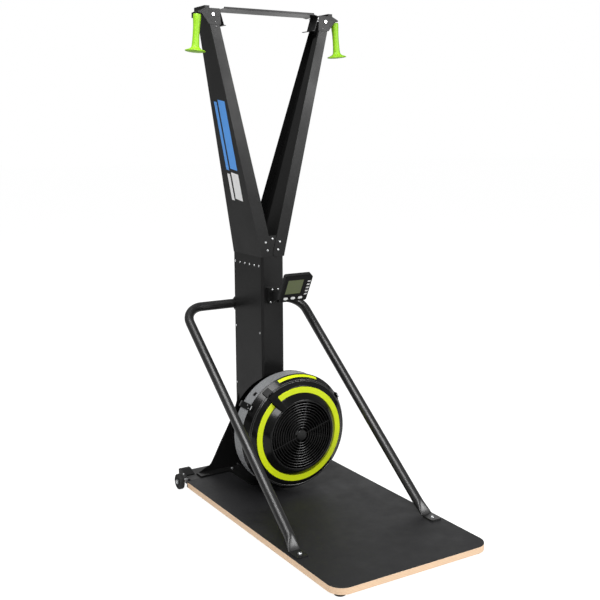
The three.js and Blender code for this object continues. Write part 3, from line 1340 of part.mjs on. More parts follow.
// The elastic cords that wind the spools back, and the rod that holds their upper ends
function bungees() {
  const anchorY = SPOOL_START + (SPOOL_PITCH * 3) / 2;
  const anchorZ = BEND - ANCHOR_DROP;
  const inner = HALF_COLUMN - SHEET;
  const anchor = rodX(ANCHOR_RADIUS, -inner, inner, anchorY, anchorZ);
  add('bungee_anchor_rod', geometryOf(solid(anchor)), BRIGHT_STEEL);
  for (const side of [-1, 1]) {
    const start = side < 0 ? SPOOL_START : SPOOL_START + SPOOL_PITCH;
    const y = start + SPOOL_FLANGE * 2 + SPOOL_PACK + BUNGEE_PACK / 2;
    const x = BUNGEE_PACK_RADIUS + CLEARANCE + BUNGEE_RADIUS;
    const low = new THREE.Vector3(-x, y, AXLE_HEIGHT);
    const high = new THREE.Vector3(side * x, anchorY, anchorZ - ANCHOR_RADIUS - CLEARANCE);
    const middle = low.clone().lerp(high, 0.5);
    const name = side < 0 ? 'return_bungee_left' : 'return_bungee_right';
    add(name, geometryOf(solid(tube([low, middle, high], BUNGEE_RADIUS, CORD_SIDES))), CORD);
  }
}

// Monitor. Inside its turned group x runs across the face, z up the face and y into the case.

function monitorShape(corner) {
  const w = MONITOR_WIDTH / 2;
  const h = MONITOR_HEIGHT / 2;
  const shape = new THREE.Shape();
  shape.absarc(w - corner, h - corner, corner, 0, Math.PI / 2, false);
  shape.absarc(-w + corner, h - corner, corner, Math.PI / 2, Math.PI, false);
  shape.absarc(-w + corner, -h + corner, corner, Math.PI, Math.PI * 1.5, false);
  shape.absarc(w - corner, -h + corner, corner, Math.PI * 1.5, Math.PI * 2, false);
  shape.closePath();
  return shape;
}

function slotShape(x, z, width, height) {
  const radius = height / 2;
  const straight = width / 2 - radius;
  const shape = new THREE.Shape();
  shape.absarc(x + straight, z, radius, -Math.PI / 2, Math.PI / 2, false);
  shape.absarc(x - straight, z, radius, Math.PI / 2, Math.PI * 1.5, false);
  shape.closePath();
  return shape;
}

function monitor() {
  const group = new THREE.Group();
  group.position.set(0, -MONITOR_REACH, BEND - MONITOR_DROP);
  group.rotation.x = MONITOR_TILT;
  machine.add(group);

  const screenLow = [-MONITOR_WIDTH / 2 + SCREEN_LEFT, MONITOR_HEIGHT / 2 - SCREEN_TOP - SCREEN_HEIGHT];
  const screenHigh = [screenLow[0] + SCREEN_WIDTH, screenLow[1] + SCREEN_HEIGHT];
  const buttonPlaces = [0, 1, 2].map((i) => [
    -MONITOR_WIDTH / 2 + BUTTON_START + i * BUTTON_PITCH,
    -MONITOR_HEIGHT / 2 + BUTTON_RISE,
  ]);
  const face = solid(prismY(monitorShape(MONITOR_CORNER), 0, MONITOR_BEZEL));
  const window = solid(box(
    [screenLow[0], -OVERRUN, screenLow[1]],
    [screenHigh[0], OVERRUN, screenHigh[1]],
  ));
  const buttonHoles = buttonPlaces.map(([x, z]) => solid(
    prismY(slotShape(x, z, BUTTON_WIDTH + CLEARANCE * 2, BUTTON_HEIGHT + CLEARANCE * 2), -OVERRUN, OVERRUN),
  ));
  add('monitor_bezel', geometryOf(cut(face, window, ...buttonHoles)), BLACK_PLASTIC, group);

  const screen = box(
    [screenLow[0] + CLEARANCE, SCREEN_RECESS, screenLow[1] + CLEARANCE],
    [screenHigh[0] - CLEARANCE, MONITOR_BEZEL - CLEARANCE, screenHigh[1] - CLEARANCE],
  );
  add('monitor_screen', geometryOf(solid(screen)), SCREEN, group);
  buttonPlaces.forEach(([x, z], i) => {
    const button = prismY(slotShape(x, z, BUTTON_WIDTH, BUTTON_HEIGHT), -BUTTON_PROUD, BUTTON_DEPTH);
    add(`monitor_button_${i + 1}`, geometryOf(solid(button)), WHITE_PLASTIC, group);
  });

  const backFront = MONITOR_BEZEL + CLEARANCE;
  const backRear = backFront + MONITOR_BACK;
  const pinY = backRear + TILT_PIN_SETBACK;
  const shell = solid(prismY(monitorShape(MONITOR_CORNER), backFront, backRear));
  const lug = join(
    solid(box(
      [-LUG_HALF_WIDTH, backRear - SHEET, -TILT_PIN_DROP - EAR_RADIUS],
      [LUG_HALF_WIDTH, pinY, -TILT_PIN_DROP + EAR_RADIUS],
    )),
    solid(rodX(EAR_RADIUS, -LUG_HALF_WIDTH, LUG_HALF_WIDTH, pinY, -TILT_PIN_DROP, ROUND)),
  );
  const pinHole = rodX(TILT_PIN_RADIUS + CLEARANCE, -OVERRUN, OVERRUN, pinY, -TILT_PIN_DROP, SMALL_ROUND);
  add('monitor_back', geometryOf(cut(join(shell, lug), solid(pinHole))), BLACK_PLASTIC, group);

  // The tilt pin's place in the machine's frame
  const pin = new THREE.Vector3(0, pinY, -TILT_PIN_DROP)
    .applyAxisAngle(new THREE.Vector3(1, 0, 0), MONITOR_TILT)
    .add(group.position);
  const earInner = LUG_HALF_WIDTH + RUNNING_CLEARANCE;
  const earOuter = earInner + EAR_SHEET;
  const pinEnd = earOuter + EAR_SHEET;
  const tiltPin = rodX(TILT_PIN_RADIUS, -pinEnd, pinEnd, pin.y, pin.z, SMALL_ROUND);
  add('monitor_tilt_pin', geometryOf(solid(tiltPin)), BRIGHT_STEEL);

  // The bracket: a box open at the bottom and the back, with two ears to the pin
  const high = BEND - MONITOR_BASE_DROP;
  const low = high - MONITOR_BASE_HEIGHT;
  const front = -MONITOR_BASE_DEPTH;
  const half = MONITOR_BASE_HALF;
  const ear = new THREE.Shape();
  ear.moveTo(front + SHEET / 2, low);
  ear.lineTo(front + SHEET / 2, high - MONITOR_EAR_DROP);
  ear.lineTo(pin.y + EAR_RADIUS, pin.z + EAR_RADIUS);
  ear.absarc(pin.y, pin.z, EAR_RADIUS, Math.PI / 2, Math.PI * 1.5, false);
  ear.closePath();
  const ears = [solid(prismX(ear, -earOuter, -earInner)), solid(prismX(ear, earInner, earOuter))];
  const walls = [
    box([-half, front, low], [half, front + SHEET, high]),
    box([-half, front, low], [-half + SHEET, 0, high]),
    box([half - SHEET, front, low], [half, 0, high]),
    box([-half, front, high - SHEET], [half, 0, high]),
  ].map(solid);
  const boreEnd = pinEnd + OVERRUN;
  const bore = rodX(TILT_PIN_RADIUS + CLEARANCE, -boreEnd, boreEnd, pin.y, pin.z, SMALL_ROUND);
  add('monitor_bracket', geometryOf(cut(join(...walls, ...ears), solid(bore))), BLACK_PAINT);
}

platform();
rearBeam();
endBlocks();
transportWheels();
baseFrame();
columnPlates();
arms();
brackets();
crossbar();
pulleys();
driveCords();
handles();
brace();
housing();
grille();
damperLever();
fan();
bearings();
spools();
bungees();
monitor();

// From the column's front face to the middle of the footprint
machine.position.y = -(BOARD_FRONT + BEAM_REAR) / 2;

export default machine;
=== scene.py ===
# %% [markdown]
# # A ski trainer machine, dressed in Blender
#
# The machine is an air-braked trainer. The user stands on a plywood platform and pulls two handles
# down. Each cord runs over a pulley, down a hollow column and onto a spool that drives a fan in a
# round housing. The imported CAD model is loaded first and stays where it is: it is the skeleton. This
# lesson then makes the visible pieces on it, each with softened edges and its own finish.

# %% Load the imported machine
from math import copysign, cos, pi, radians, sin, tan

import bmesh
import bpy
from mathutils import Matrix, Vector


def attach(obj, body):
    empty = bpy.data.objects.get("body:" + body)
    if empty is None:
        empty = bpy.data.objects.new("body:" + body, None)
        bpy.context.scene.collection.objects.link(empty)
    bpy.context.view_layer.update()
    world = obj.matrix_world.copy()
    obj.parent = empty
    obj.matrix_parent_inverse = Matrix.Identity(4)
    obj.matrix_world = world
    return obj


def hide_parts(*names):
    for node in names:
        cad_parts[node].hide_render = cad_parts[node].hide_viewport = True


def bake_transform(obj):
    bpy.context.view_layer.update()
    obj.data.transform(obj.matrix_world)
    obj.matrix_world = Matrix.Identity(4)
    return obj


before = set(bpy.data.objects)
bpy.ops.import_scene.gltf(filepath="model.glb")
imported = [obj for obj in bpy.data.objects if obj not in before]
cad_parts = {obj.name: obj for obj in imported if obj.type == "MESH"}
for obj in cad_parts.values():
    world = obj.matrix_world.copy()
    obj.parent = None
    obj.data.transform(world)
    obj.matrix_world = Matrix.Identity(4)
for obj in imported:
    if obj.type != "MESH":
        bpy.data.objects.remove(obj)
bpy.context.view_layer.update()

# %% [markdown]
# ## Places and the camera
#
# All sizes are thought of in millimetres from the column's front face, because that is how the
# machine was measured. Two functions turn such a place into metres in the shared frame. The
# camera is a long lens to the front left of the machine, a little above the column's bend. Its axes
# come from a yaw, a pitch and a roll.

# %% Places in millimetres
FACE = 359.5  # from the middle of the footprint back to the column's front face
DECK = 42.0  # the mat's top
PLATE_TOP = DECK + 6  # the top of the plates that lie on the mat
SHEET = 2.5  # folded steel
COLUMN_HALF = 55  # half the column's width
COLUMN_DEPTH = 255
BEND = 1044.0  # the foot of the arms
AXLE = 309.0  # the fan's axle
ARM_SLOPE = 0.235  # how far an arm leans out over its height

X, Y, Z = Vector((1, 0, 0)), Vector((0, 1, 0)), Vector((0, 0, 1))
SIDES = (("left", -1), ("right", 1))
link = bpy.context.collection.objects.link
scene = bpy.context.scene


def at(x, y, z):
    """A place in millimetres from the column's front face, in the frame's metres."""
    return Vector((x, y + FACE, z)) / 1000


def beside(sign, x, y, z):
    """The same on one side of the machine: a sign of -1 is left, 1 right and 0 the middle."""
    return at(sign * x, y, z)


FAN_CENTRE = at(0, 0, AXLE)

# %% The camera
CAMERA_PLACE = at(-2003.5, -3475.9, 1574.1)
YAW, PITCH, ROLL = (radians(angle) for angle in (31.62, 10.17, -0.25))
SENSOR_WIDTH = 36
PICTURE_WIDTH = 600
LENS_IN_PIXELS = 939.6

forward = Vector((sin(YAW) * cos(PITCH), cos(YAW) * cos(PITCH), -sin(PITCH)))
level = Vector((cos(YAW), -sin(YAW), 0))
upright = level.cross(forward)
right = level * cos(ROLL) + upright * sin(ROLL)
up = upright * cos(ROLL) - level * sin(ROLL)
data = bpy.data.cameras.new("studio_camera")
data.sensor_fit = "HORIZONTAL"
data.sensor_width = SENSOR_WIDTH
data.lens = SENSOR_WIDTH * LENS_IN_PIXELS / PICTURE_WIDTH
data.clip_end = 60
camera = bpy.data.objects.new("studio_camera", data)
turn = Matrix((right, up, -forward)).transposed()
camera.matrix_world = Matrix.Translation(CAMERA_PLACE) @ turn.to_4x4()
link(camera)
scene.camera = camera
print("Lens:", round(data.lens, 2), "mm")

# %% [markdown]
# ## Shared texture groups
#
# Powder coat, moulded plastic and rubber all have a very fine relief and a slight unevenness of
# tone. A node group makes both from noise in object space, and each finish sets its own scale.
# Two more groups draw the plies of the board's edge and the holes of the perforated band.


# %% A helper that starts a node group
def start_group(name, inputs, outputs):
    """A group, what it is given, the place on the object and the group's output node."""
    group = bpy.data.node_groups.new(name, "ShaderNodeTree")
    for label, value in inputs.items():
        socket = group.interface.new_socket(name=label, in_out="INPUT", socket_type="NodeSocketFloat")
        socket.default_value = value
    for label in outputs:
        group.interface.new_socket(name=label, in_out="OUTPUT", socket_type="NodeSocketFloat")
    given = group.nodes.new("NodeGroupInput").outputs
    where = group.nodes.new("ShaderNodeTexCoord").outputs["Object"]
    return group, given, where, group.nodes.new("NodeGroupOutput")


# %% Helpers that add nodes and fill their inputs
def give(tree, socket, value):
    """Link another node's output to an input, or set the input to a plain value."""
    if isinstance(value, bpy.types.NodeSocket):
        tree.links.new(value, socket)
    else:
        socket.default_value = value


def feed(tree, node, **inputs):
    """Fill a node's inputs by their labels, with _ for each blank."""
    for label, value in inputs.items():
        give(tree, node.inputs[label.replace("_", " ")], value)
    return node


def add_node(tree, kind, group=None, **inputs):
    node = tree.nodes.new("ShaderNode" + kind)
    if group:
        node.node_tree = group
    return feed(tree, node, **inputs)


def mix_colours(tree, factor, first, second, blend="MIX"):
    mix = add_node(tree, "Mix")
    mix.data_type = "RGBA"
    mix.blend_type = blend
    return feed(tree, mix, Factor=factor, A=first, B=second).outputs["Result"]


def maths(tree, operation, first, second=None, clamp=False):
    """One sum. Each value is a socket or a number."""
    node = add_node(tree, "Math")
    node.operation = operation
    node.use_clamp = clamp
    for socket, value in zip(node.inputs, (first, second)):
        if value is not None:
            give(tree, socket, value)
    return node.outputs[0]


# %% Fine relief and tone
group, given, where, result = start_group(
    "surface_grain", {"Grain Scale": 900.0, "Tone Scale": 6.0, "Detail": 3.0}, ("Relief", "Tone"))
fine = add_node(
    group, "TexNoise", Vector=where, Scale=given["Grain Scale"], Detail=given["Detail"])
broad = add_node(group, "TexNoise", Vector=where, Scale=given["Tone Scale"], Detail=4)
feed(group, result, Relief=fine.outputs["Fac"], Tone=broad.outputs["Fac"])
surface_grain = group

# %% The plies of a board's edge
WAVE_SCALE = 9  # how often a ply swings up and down in a metre
FIBRE_STRETCH = (30, 30, 900)  # fibres are long and flat
PLY_EDGE = 2.5  # how sharply one ply ends and the next begins

group, given, where, result = start_group(
    "ply_layers", {"Layer Thickness": 0.0028, "Waviness": 0.0004}, ("Layer", "Fibre"))
split = add_node(group, "SeparateXYZ", Vector=where)
wave = add_node(group, "TexNoise", Vector=where, Scale=WAVE_SCALE)
shift = maths(group, "MULTIPLY", wave.outputs["Fac"], given["Waviness"])
height = maths(group, "ADD", split.outputs["Z"], shift)
place = maths(group, "DIVIDE", height, given["Layer Thickness"])
swing = maths(group, "SINE", maths(group, "MULTIPLY", place, pi))
layer = maths(group, "ADD", maths(group, "MULTIPLY", swing, PLY_EDGE), 0.5, clamp=True)
stretch = add_node(group, "Mapping", Vector=where, Scale=FIBRE_STRETCH)
fibre = add_node(group, "TexNoise", Vector=stretch.outputs["Vector"], Scale=2, Detail=6)
feed(group, result, Layer=layer, Fibre=fibre.outputs["Fac"])
ply_layers = group

# %% Round holes in a sheet that is rolled round the fan's axis
HOLE_EDGE = 14.0  # how sharply a hole's dark begins
RIM_WIDTH = 0.08
RIM_EDGE = 8.0

group, given, where, result = start_group(
    "round_holes", {"Around": 420.0, "Pitch": 0.0038, "Hole Share": 0.3}, ("Hole", "Rim"))
centre = add_node(group, "Mapping", Vector=where, Location=-FAN_CENTRE)
split = add_node(group, "SeparateXYZ", Vector=centre.outputs["Vector"]).outputs
angle = maths(group, "ARCTAN2", split["X"], split["Z"])
turn = maths(group, "DIVIDE", angle, 2 * pi)
column = maths(group, "MULTIPLY", turn, given["Around"])
row = maths(group, "DIVIDE", split["Y"], given["Pitch"])
odd = maths(group, "FLOORED_MODULO", maths(group, "FLOOR", row), 2.0)
half = maths(group, "MULTIPLY", odd, 0.5)
u = maths(group, "SUBTRACT", maths(group, "FRACT", maths(group, "ADD", column, half)), 0.5)
v = maths(group, "SUBTRACT", maths(group, "FRACT", row), 0.5)
square = maths(group, "ADD", maths(group, "MULTIPLY", u, u), maths(group, "MULTIPLY", v, v))
inside = maths(group, "SUBTRACT", given["Hole Share"], maths(group, "SQRT", square))
hole = maths(group, "MULTIPLY", inside, HOLE_EDGE, clamp=True)
rim = maths(group, "MULTIPLY", maths(group, "ADD", inside, RIM_WIDTH), RIM_EDGE, clamp=True)
feed(group, result, Hole=hole, Rim=rim)
round_holes = group

# %% [markdown]
# ## The finishes
#
# Every finish is a Principled shader. Its colour and roughness vary a little through a group, and its
# fine relief goes through a Bump node.


# %% A finish from two colours, a roughness range and a relief
TONE_SPAN = (0.3, 0.7)  # the noise's usual values


def new_material(name, slot=None, **inputs):
    """A material, its node tree and its shader, with some of the shader's inputs filled."""
    material = bpy.data.materials.new(name)
    material.use_nodes = True
    tree = material.node_tree
    return material, tree, feed(tree, tree.nodes["Principled BSDF"], **inputs)


def relief_from(tree, height, strength, distance):
    bump = add_node(tree, "Bump", Height=height, Strength=strength, Distance=distance)
    return bump.outputs["Normal"]


def finish(
        name, slot, dark, light, rough, relief=0.0, grain=900.0, tone=6.0, metallic=0.0, coat=0.0,
        specular=0.5, edge=1.0):
    """A colour is three numbers, or one for a grey. A low edge darkens a metal's grazing reflection."""
    dark, light = (given if isinstance(given, tuple) else (given,) * 3 for given in (dark, light))
    material, tree, shader = new_material(
        name, slot, Metallic=metallic, Coat_Weight=coat, Coat_Roughness=0.12,
        Specular_IOR_Level=specular, Specular_Tint=(edge, edge, edge, 1))
    noise = add_node(tree, "Group", surface_grain, Grain_Scale=grain, Tone_Scale=tone).outputs
    low, high = TONE_SPAN
    spread = add_node(
        tree, "MapRange", Value=noise["Tone"], From_Min=low, From_Max=high, To_Min=rough[0],
        To_Max=rough[1])
    feed(
        tree, shader, Base_Color=mix_colours(tree, noise["Tone"], (*dark, 1), (*light, 1)),
        Roughness=spread.outputs["Result"],
        Normal=relief_from(tree, noise["Relief"], relief, distance=0.0004))
    return material


# %% The blacks: painted sheet and tube, then plastics, then rubber
powder_black = finish(
    "powder_black", "black_paint", 0.006, 0.009, (0.30, 0.42), relief=0.25, grain=1500, specular=0.25)
tube_black = finish(
    "tube_black", "black_paint", 0.008, 0.011, (0.32, 0.40), relief=0.1, grain=1500, specular=0.8)
bar_black = finish(
    "bar_black", "black_paint", 0.008, 0.011, (0.30, 0.40), relief=0.1, grain=1500, specular=0.22)
moulded_black = finish(
    "moulded_black", "black_plastic", 0.003, 0.005, (0.16, 0.24), relief=0.04, coat=0.1, specular=0.25)
guard_black = finish("guard_black", "black_plastic", 0.004, 0.006, (0.26, 0.34), relief=0.04)
# The beads are a little lighter than the cowl they are moulded with: a painted highlight along the arris.
bead_painted_glint = finish("bead_painted_glint", "black_plastic", 0.014, 0.020, (0.22, 0.30), relief=0.04, specular=1.0)
bezel_black = finish("bezel_black", "black_plastic", 0.002, 0.003, (0.30, 0.40), relief=0.04, specular=0.15)
rear_black = finish(
    "rear_black", "black_plastic", 0.006, 0.010, (0.40, 0.50), relief=0.04, metallic=1.0, edge=0.08)
satin_black = finish(
    "satin_black", "black_plastic", 0.009, 0.014, (0.40, 0.52), relief=0.25, grain=1300, specular=0.25)
fan_plastic = finish("fan_plastic", "black_plastic", 0.002, 0.003, (0.5, 0.6), relief=0.1, specular=0.12)
wheel_rubber = finish("wheel_rubber", "tyre", 0.008, 0.018, (0.6, 0.75), relief=0.4, grain=700)
foot_rubber = finish("foot_rubber", "rubber", 0.008, 0.014, (0.7, 0.85), relief=0.3, grain=700)
cord_black = finish(
    "cord_black", "cord", (0.010, 0.010, 0.011), (0.022, 0.022, 0.024), (0.7, 0.85), relief=0.8, grain=500)

# %% Steel, the bright colours and the screen
plated_steel = finish(
    "plated_steel", "bright_steel", (0.62, 0.63, 0.64), (0.80, 0.81, 0.82), (0.28, 0.42), relief=0.1,
    metallic=1.0)
dull_steel = finish("dull_steel", "bright_steel", 0.16, 0.22, (0.35, 0.5), relief=0.1, metallic=1.0)
lime_trim = finish("lime_trim", "lime", (0.62, 0.75, 0.0), (0.71, 0.83, 0.0), (0.35, 0.45), relief=0.05)
grip_green = finish(
    "grip_green", "grip_green", (0.24, 0.52, 0.010), (0.30, 0.60, 0.014), (0.4, 0.55), relief=0.15, grain=600)
key_white = finish(
    "key_white", "white_plastic", (0.74, 0.75, 0.74), (0.82, 0.83, 0.82), (0.3, 0.4), relief=0.05)
mark_grey = finish(
    "mark_grey", "white_plastic", (0.78, 0.79, 0.78), (0.86, 0.87, 0.86), (0.4, 0.5), relief=0.05)
stripe_blue = finish(
    "stripe_blue", "black_paint", (0.08, 0.35, 0.90), (0.11, 0.39, 0.96), (0.3, 0.4), relief=0.05)
stripe_white = finish("stripe_white", "black_paint", 0.90, 0.96, (0.3, 0.4), relief=0.05)
screen_olive = finish(
    "screen_olive", "screen", (0.085, 0.105, 0.038), (0.105, 0.125, 0.050), (0.12, 0.2), tone=3.0)

# %% The deck mat: pebbled rubber with pale specks
SPECK_SCALE = 480
SPECK_RANGE = (0.70, 0.76)
SPECK_STRENGTH = 0.6
SPECK_GREY = (0.16, 0.16, 0.16, 1)

deck_rubber = finish(
    "deck_rubber", "rubber", (0.008, 0.008, 0.009), (0.013, 0.013, 0.014), (0.48, 0.60), relief=0.6,
    grain=420, tone=14, specular=0.4)
tree = deck_rubber.node_tree
shader = tree.nodes["Principled BSDF"]
base = shader.inputs["Base Color"].links[0].from_socket
speck = add_node(tree, "Group", surface_grain, Tone_Scale=SPECK_SCALE)
pick = add_node(
    tree, "MapRange", Value=speck.outputs["Tone"], From_Min=SPECK_RANGE[0],
    From_Max=SPECK_RANGE[1], To_Max=SPECK_STRENGTH)
feed(tree, shader, Base_Color=mix_colours(tree, pick.outputs["Result"], base, SPECK_GREY))

# %% The plywood: thin plies along the edge, fibres in each
PALE_PLY = (0.96, 0.72, 0.50, 1)
WARM_PLY = (0.90, 0.61, 0.39, 1)
FIBRE_SHADE = (0.80, 0.72, 0.64, 1)
FIBRE_STRENGTH = 0.2

plywood_edge, tree, shader = new_material("plywood_edge", "plywood", Roughness=0.5)
layers = add_node(tree, "Group", ply_layers).outputs
plies = mix_colours(tree, layers["Layer"], PALE_PLY, WARM_PLY)
share = maths(tree, "MULTIPLY", layers["Fibre"], FIBRE_STRENGTH)
feed(
    tree, shader, Base_Color=mix_colours(tree, share, plies, FIBRE_SHADE, blend="MULTIPLY"),
    Normal=relief_from(tree, layers["Fibre"], strength=0.25, distance=0.0003))

# %% The grey band: painted sheet with small staggered holes, each painted dark for the black inside and its shade
SHEET_GREY = (0.36, 0.37, 0.38, 1)
# The holes are not cut. Each is painted this dark: the black inside of the housing, with painted shade in the
# hole.
HOLE_BLACK_AND_SHADE = (0.02, 0.02, 0.02, 1)
SHEET_ROUGHNESS = 0.42
HOLE_ROUGHER = 0.4

band_grey, tree, shader = new_material("band_grey", "grey_mesh", Metallic=0.2)
holes = add_node(tree, "Group", round_holes).outputs
rougher = maths(tree, "MULTIPLY", holes["Hole"], HOLE_ROUGHER)
depth = maths(tree, "SUBTRACT", 1.0, holes["Rim"])
feed(
    tree, shader, Base_Color=mix_colours(tree, holes["Hole"], SHEET_GREY, HOLE_BLACK_AND_SHADE),
    Roughness=maths(tree, "ADD", rougher, SHEET_ROUGHNESS),
    Normal=relief_from(tree, depth, strength=0.6, distance=0.0006))
print("Finishes:", len(bpy.data.materials))

# %% [markdown]
# ## Helpers for the pieces
#
# Most of the machine is folded sheet, turned plastic and bolts. So a few helpers cover nearly
# everything: a block, a flat plate pushed to a thickness, a profile spun round an axis, and a bevel
# on every sharp edge. Another turns the work mesh into an object that rides on its CAD body. It adds
# a Weighted Normal modifier, because a smooth bevel would otherwise make the flat sheet beside it
# look pillowed.


# %% Finish a work mesh as a riding piece
def keep(name, work, material, body="frame", stands_for=(), smooth=32):
    bmesh.ops.remove_doubles(work, verts=work.verts, dist=1e-6)
    bmesh.ops.recalc_face_normals(work, faces=work.faces)
    mesh = bpy.data.meshes.new(name)
    work.to_mesh(mesh)
    work.free()
    mesh.shade_smooth()
    mesh.set_sharp_from_angle(angle=radians(smooth))
    mesh.materials.append(material)
    obj = bpy.data.objects.new(name, mesh)
    link(obj)
    crisp = obj.modifiers.new("crisp", "WEIGHTED_NORMAL")
    crisp.keep_sharp = True
    if body:
        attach(obj, body)
    if stands_for:
        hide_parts(*stands_for)
    print(f"{name}: {len(mesh.polygons)} faces")
    return obj


# %% Block, plate and turned shape
def block(work, low, high):
    made = bmesh.ops.create_cube(work, size=1)["verts"]
    bmesh.ops.scale(work, vec=high - low, verts=made)
    bmesh.ops.translate(work, vec=(high + low) / 2, verts=made)
    return made


def block_beside(work, sign, near, far, front, back, low, high):
    """A block from near to far out on one side of the middle."""
    inner, outer = sorted((sign * near, sign * far))
    return block(work, at(inner, front, low), at(outer, back, high))


def plate(work, corners, push):
    """A flat outline pushed out along one direction."""
    face = work.faces.new([work.verts.new(corner) for corner in corners])
    made = bmesh.ops.extrude_face_region(work, geom=[face])["geom"]
    moved = [item for item in made if isinstance(item, bmesh.types.BMVert)]
    bmesh.ops.translate(work, verts=moved, vec=push)
    return list(face.verts) + moved


def turned(work, profile, centre, axis, out, steps=64, angle=2 * pi):
    """A closed profile of (radius, along) in millimetres, spun round an axis."""
    points = [work.verts.new(centre + out * (r / 1000) + axis * (a / 1000)) for r, a in profile]
    lines = [work.edges.new((points[i - 1], points[i])) for i in range(len(points))]
    bmesh.ops.spin(
        work, geom=points + lines, cent=centre, axis=axis, dvec=(0, 0, 0), angle=angle, steps=steps,
        use_merge=angle >= 2 * pi - 1e-6, use_duplicate=False)


def turned_piece(name, profile, centre, axis, out, material, steps=64, **rest):
    """A piece that is one turned shape."""
    work = bmesh.new()
    turned(work, profile, centre, axis, out, steps=steps)
    return keep(name, work, material, **rest)


# %% Bevels and the edges that get them
def soften(work, width, steps=2, angle=30, edges=None):
    """Rounds every sharp edge, or the given ones, by a width in millimetres."""
    chosen = edges or [
        edge for edge in work.edges
        if edge.is_manifold and edge.calc_face_angle(0) > radians(angle)]
    bmesh.ops.bevel(
        work, geom=chosen, offset=width / 1000, offset_type="OFFSET", affect="EDGES", segments=steps,
        profile=0.5, material=-1, clamp_overlap=True)


def edges_of(verts, turn=-1.0):
    """The edges at some vertices, where their faces meet at more than a turn in radians."""
    edges = {edge for vert in verts for edge in vert.link_edges}
    return [edge for edge in edges if edge.calc_face_angle(0) > turn]


def along(verts, axis):
    """The edges of a block that run along one axis: 0, 1 or 2."""
    return [
        edge for edge in edges_of(verts)
        if all(abs(edge.verts[0].co[i] - edge.verts[1].co[i]) < 1e-6 for i in range(3) if i != axis)]


def ahead_of(edge, y):
    """Whether an edge starts nearer to the front than y, in millimetres from the column's face."""
    return edge.verts[0].co.y < at(0, y, 0).y


# %% [markdown]
# Folded sheet pieces are already right in the CAD model. A copy of such a solid is merged, its flat
# faces are joined up and its edges get a small bevel, so that they catch the light as a folded or
# cut edge does.


# %% A copy of a CAD solid with softened edges
def copy_of(node):
    work = bmesh.new()
    work.from_mesh(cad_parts[node].data)
    bmesh.ops.remove_doubles(work, verts=work.verts, dist=2e-5)
    bmesh.ops.dissolve_limit(work, angle_limit=radians(1), verts=work.verts, edges=work.edges)
    return work


def softened(name, node, material, width=0.8, body="frame", steps=2, angle=30):
    work = copy_of(node)
    soften(work, width, steps=steps, angle=angle)
    return keep(name, work, material, body=body, stands_for=(node,))


# %% A hexagon bolt, a round rivet and a washer
WASHER = 1.4 / 1000
HEXAGON = 1733  # from a width across flats in millimetres to a corner's radius in metres


def disc(work, sides, radius, depth, place, direction):
    """A flat prism that stands on a place. Its sizes are in metres."""
    turn = Z.rotation_difference(direction).to_matrix().to_4x4()
    return bmesh.ops.create_cone(
        work, cap_ends=True, segments=sides, radius1=radius, radius2=radius, depth=depth,
        matrix=Matrix.Translation(place + direction * (depth / 2)) @ turn)["verts"]


def bolt(work, place, direction, across=12.0, height=5.0, washer=0.0):
    if washer:
        ring = disc(work, 24, washer / 2000, WASHER, place, direction)
        soften(work, 0.3, edges=edges_of(ring, turn=1))
        place = place + direction * WASHER
    head = disc(work, 6, across / HEXAGON, height / 1000, place, direction)
    soften(work, 0.7, edges=edges_of(head))


def rivet(work, place, direction, radius=4.0, height=2.2):
    """A low dome: a small arc spun round the rivet's own axis."""
    out = direction.orthogonal().normalized()
    arc = [(radius * cos(a), height * sin(a)) for a in (0, 0.3, 0.6, 0.9, 1.2)]
    turned(work, [(0, -0.4), (radius, -0.4), *arc, (0, height)], place, direction, out, steps=20)


# %% [markdown]
# ## The platform
#
# A plywood board lies on round rubber feet, with a pebbled rubber mat over its whole top. The board
# is one block: its four upright edges are bevelled to the corner radii, and then its rims a little.

# %% Board and mat
BOARD_HALF = 350
BOARD_FRONT = -1019
BOARD_BACK = 178
BOARD_LOW = 14
MAT_LOW = 39
FRONT_CORNER = 60
REAR_CORNER = 8


def rounded_slab(low_z, high_z, rim):
    work = bmesh.new()
    slab = block(work, at(-BOARD_HALF, BOARD_FRONT, low_z), at(BOARD_HALF, BOARD_BACK, high_z))
    upright = along(slab, 2)
    front = [edge for edge in upright if ahead_of(edge, 0)]
    rear = [edge for edge in upright if not ahead_of(edge, 0)]
    soften(work, FRONT_CORNER, steps=20, edges=front)
    soften(work, REAR_CORNER, steps=6, edges=rear)
    rims = [edge for edge in work.edges if edge.calc_face_angle(0) > radians(60)]
    soften(work, rim, steps=3, edges=rims)
    return work


board = rounded_slab(BOARD_LOW, MAT_LOW, 1.2)
keep("plywood_board", board, plywood_edge, stands_for=("platform_board",))
mat = rounded_slab(MAT_LOW, DECK, 0.9)
keep("deck_mat", mat, deck_rubber, stands_for=("platform_mat",))

# %% Feet
FRONT_FEET = (308, -977)
REAR_FEET = (314, 205)
FOOT_PROFILE = [(0, 0), (19.5, 0), (21.2, 0.7), (22, 2.5), (21.2, 11), (20, BOARD_LOW), (0, BOARD_LOW)]

work = bmesh.new()
for place in (FRONT_FEET, REAR_FEET):
    for sign in (1, -1):
        turned(work, FOOT_PROFILE, beside(sign, *place, 0), Z, X, steps=40)
names = [f"foot_{end}_{side}" for end in ("front", "rear") for side in ("left", "right")]
keep("rubber_feet", work, foot_rubber, stands_for=names)

# %% [markdown]
# ## The rear beam and its transport wheels
#
# A bent steel beam closes the platform behind. A block on each end holds a wheel plate, and the
# wheel turns on a shouldered bolt. The tyre, its shallow tread and the hub come from one profile.

# %% Beam and end blocks
softened("rear_cross_beam", "rear_beam", powder_black, width=1.6)
for side, sign in SIDES:
    softened(f"end_block_{side}", f"beam_end_block_{side}", satin_black, width=4.0, steps=4)

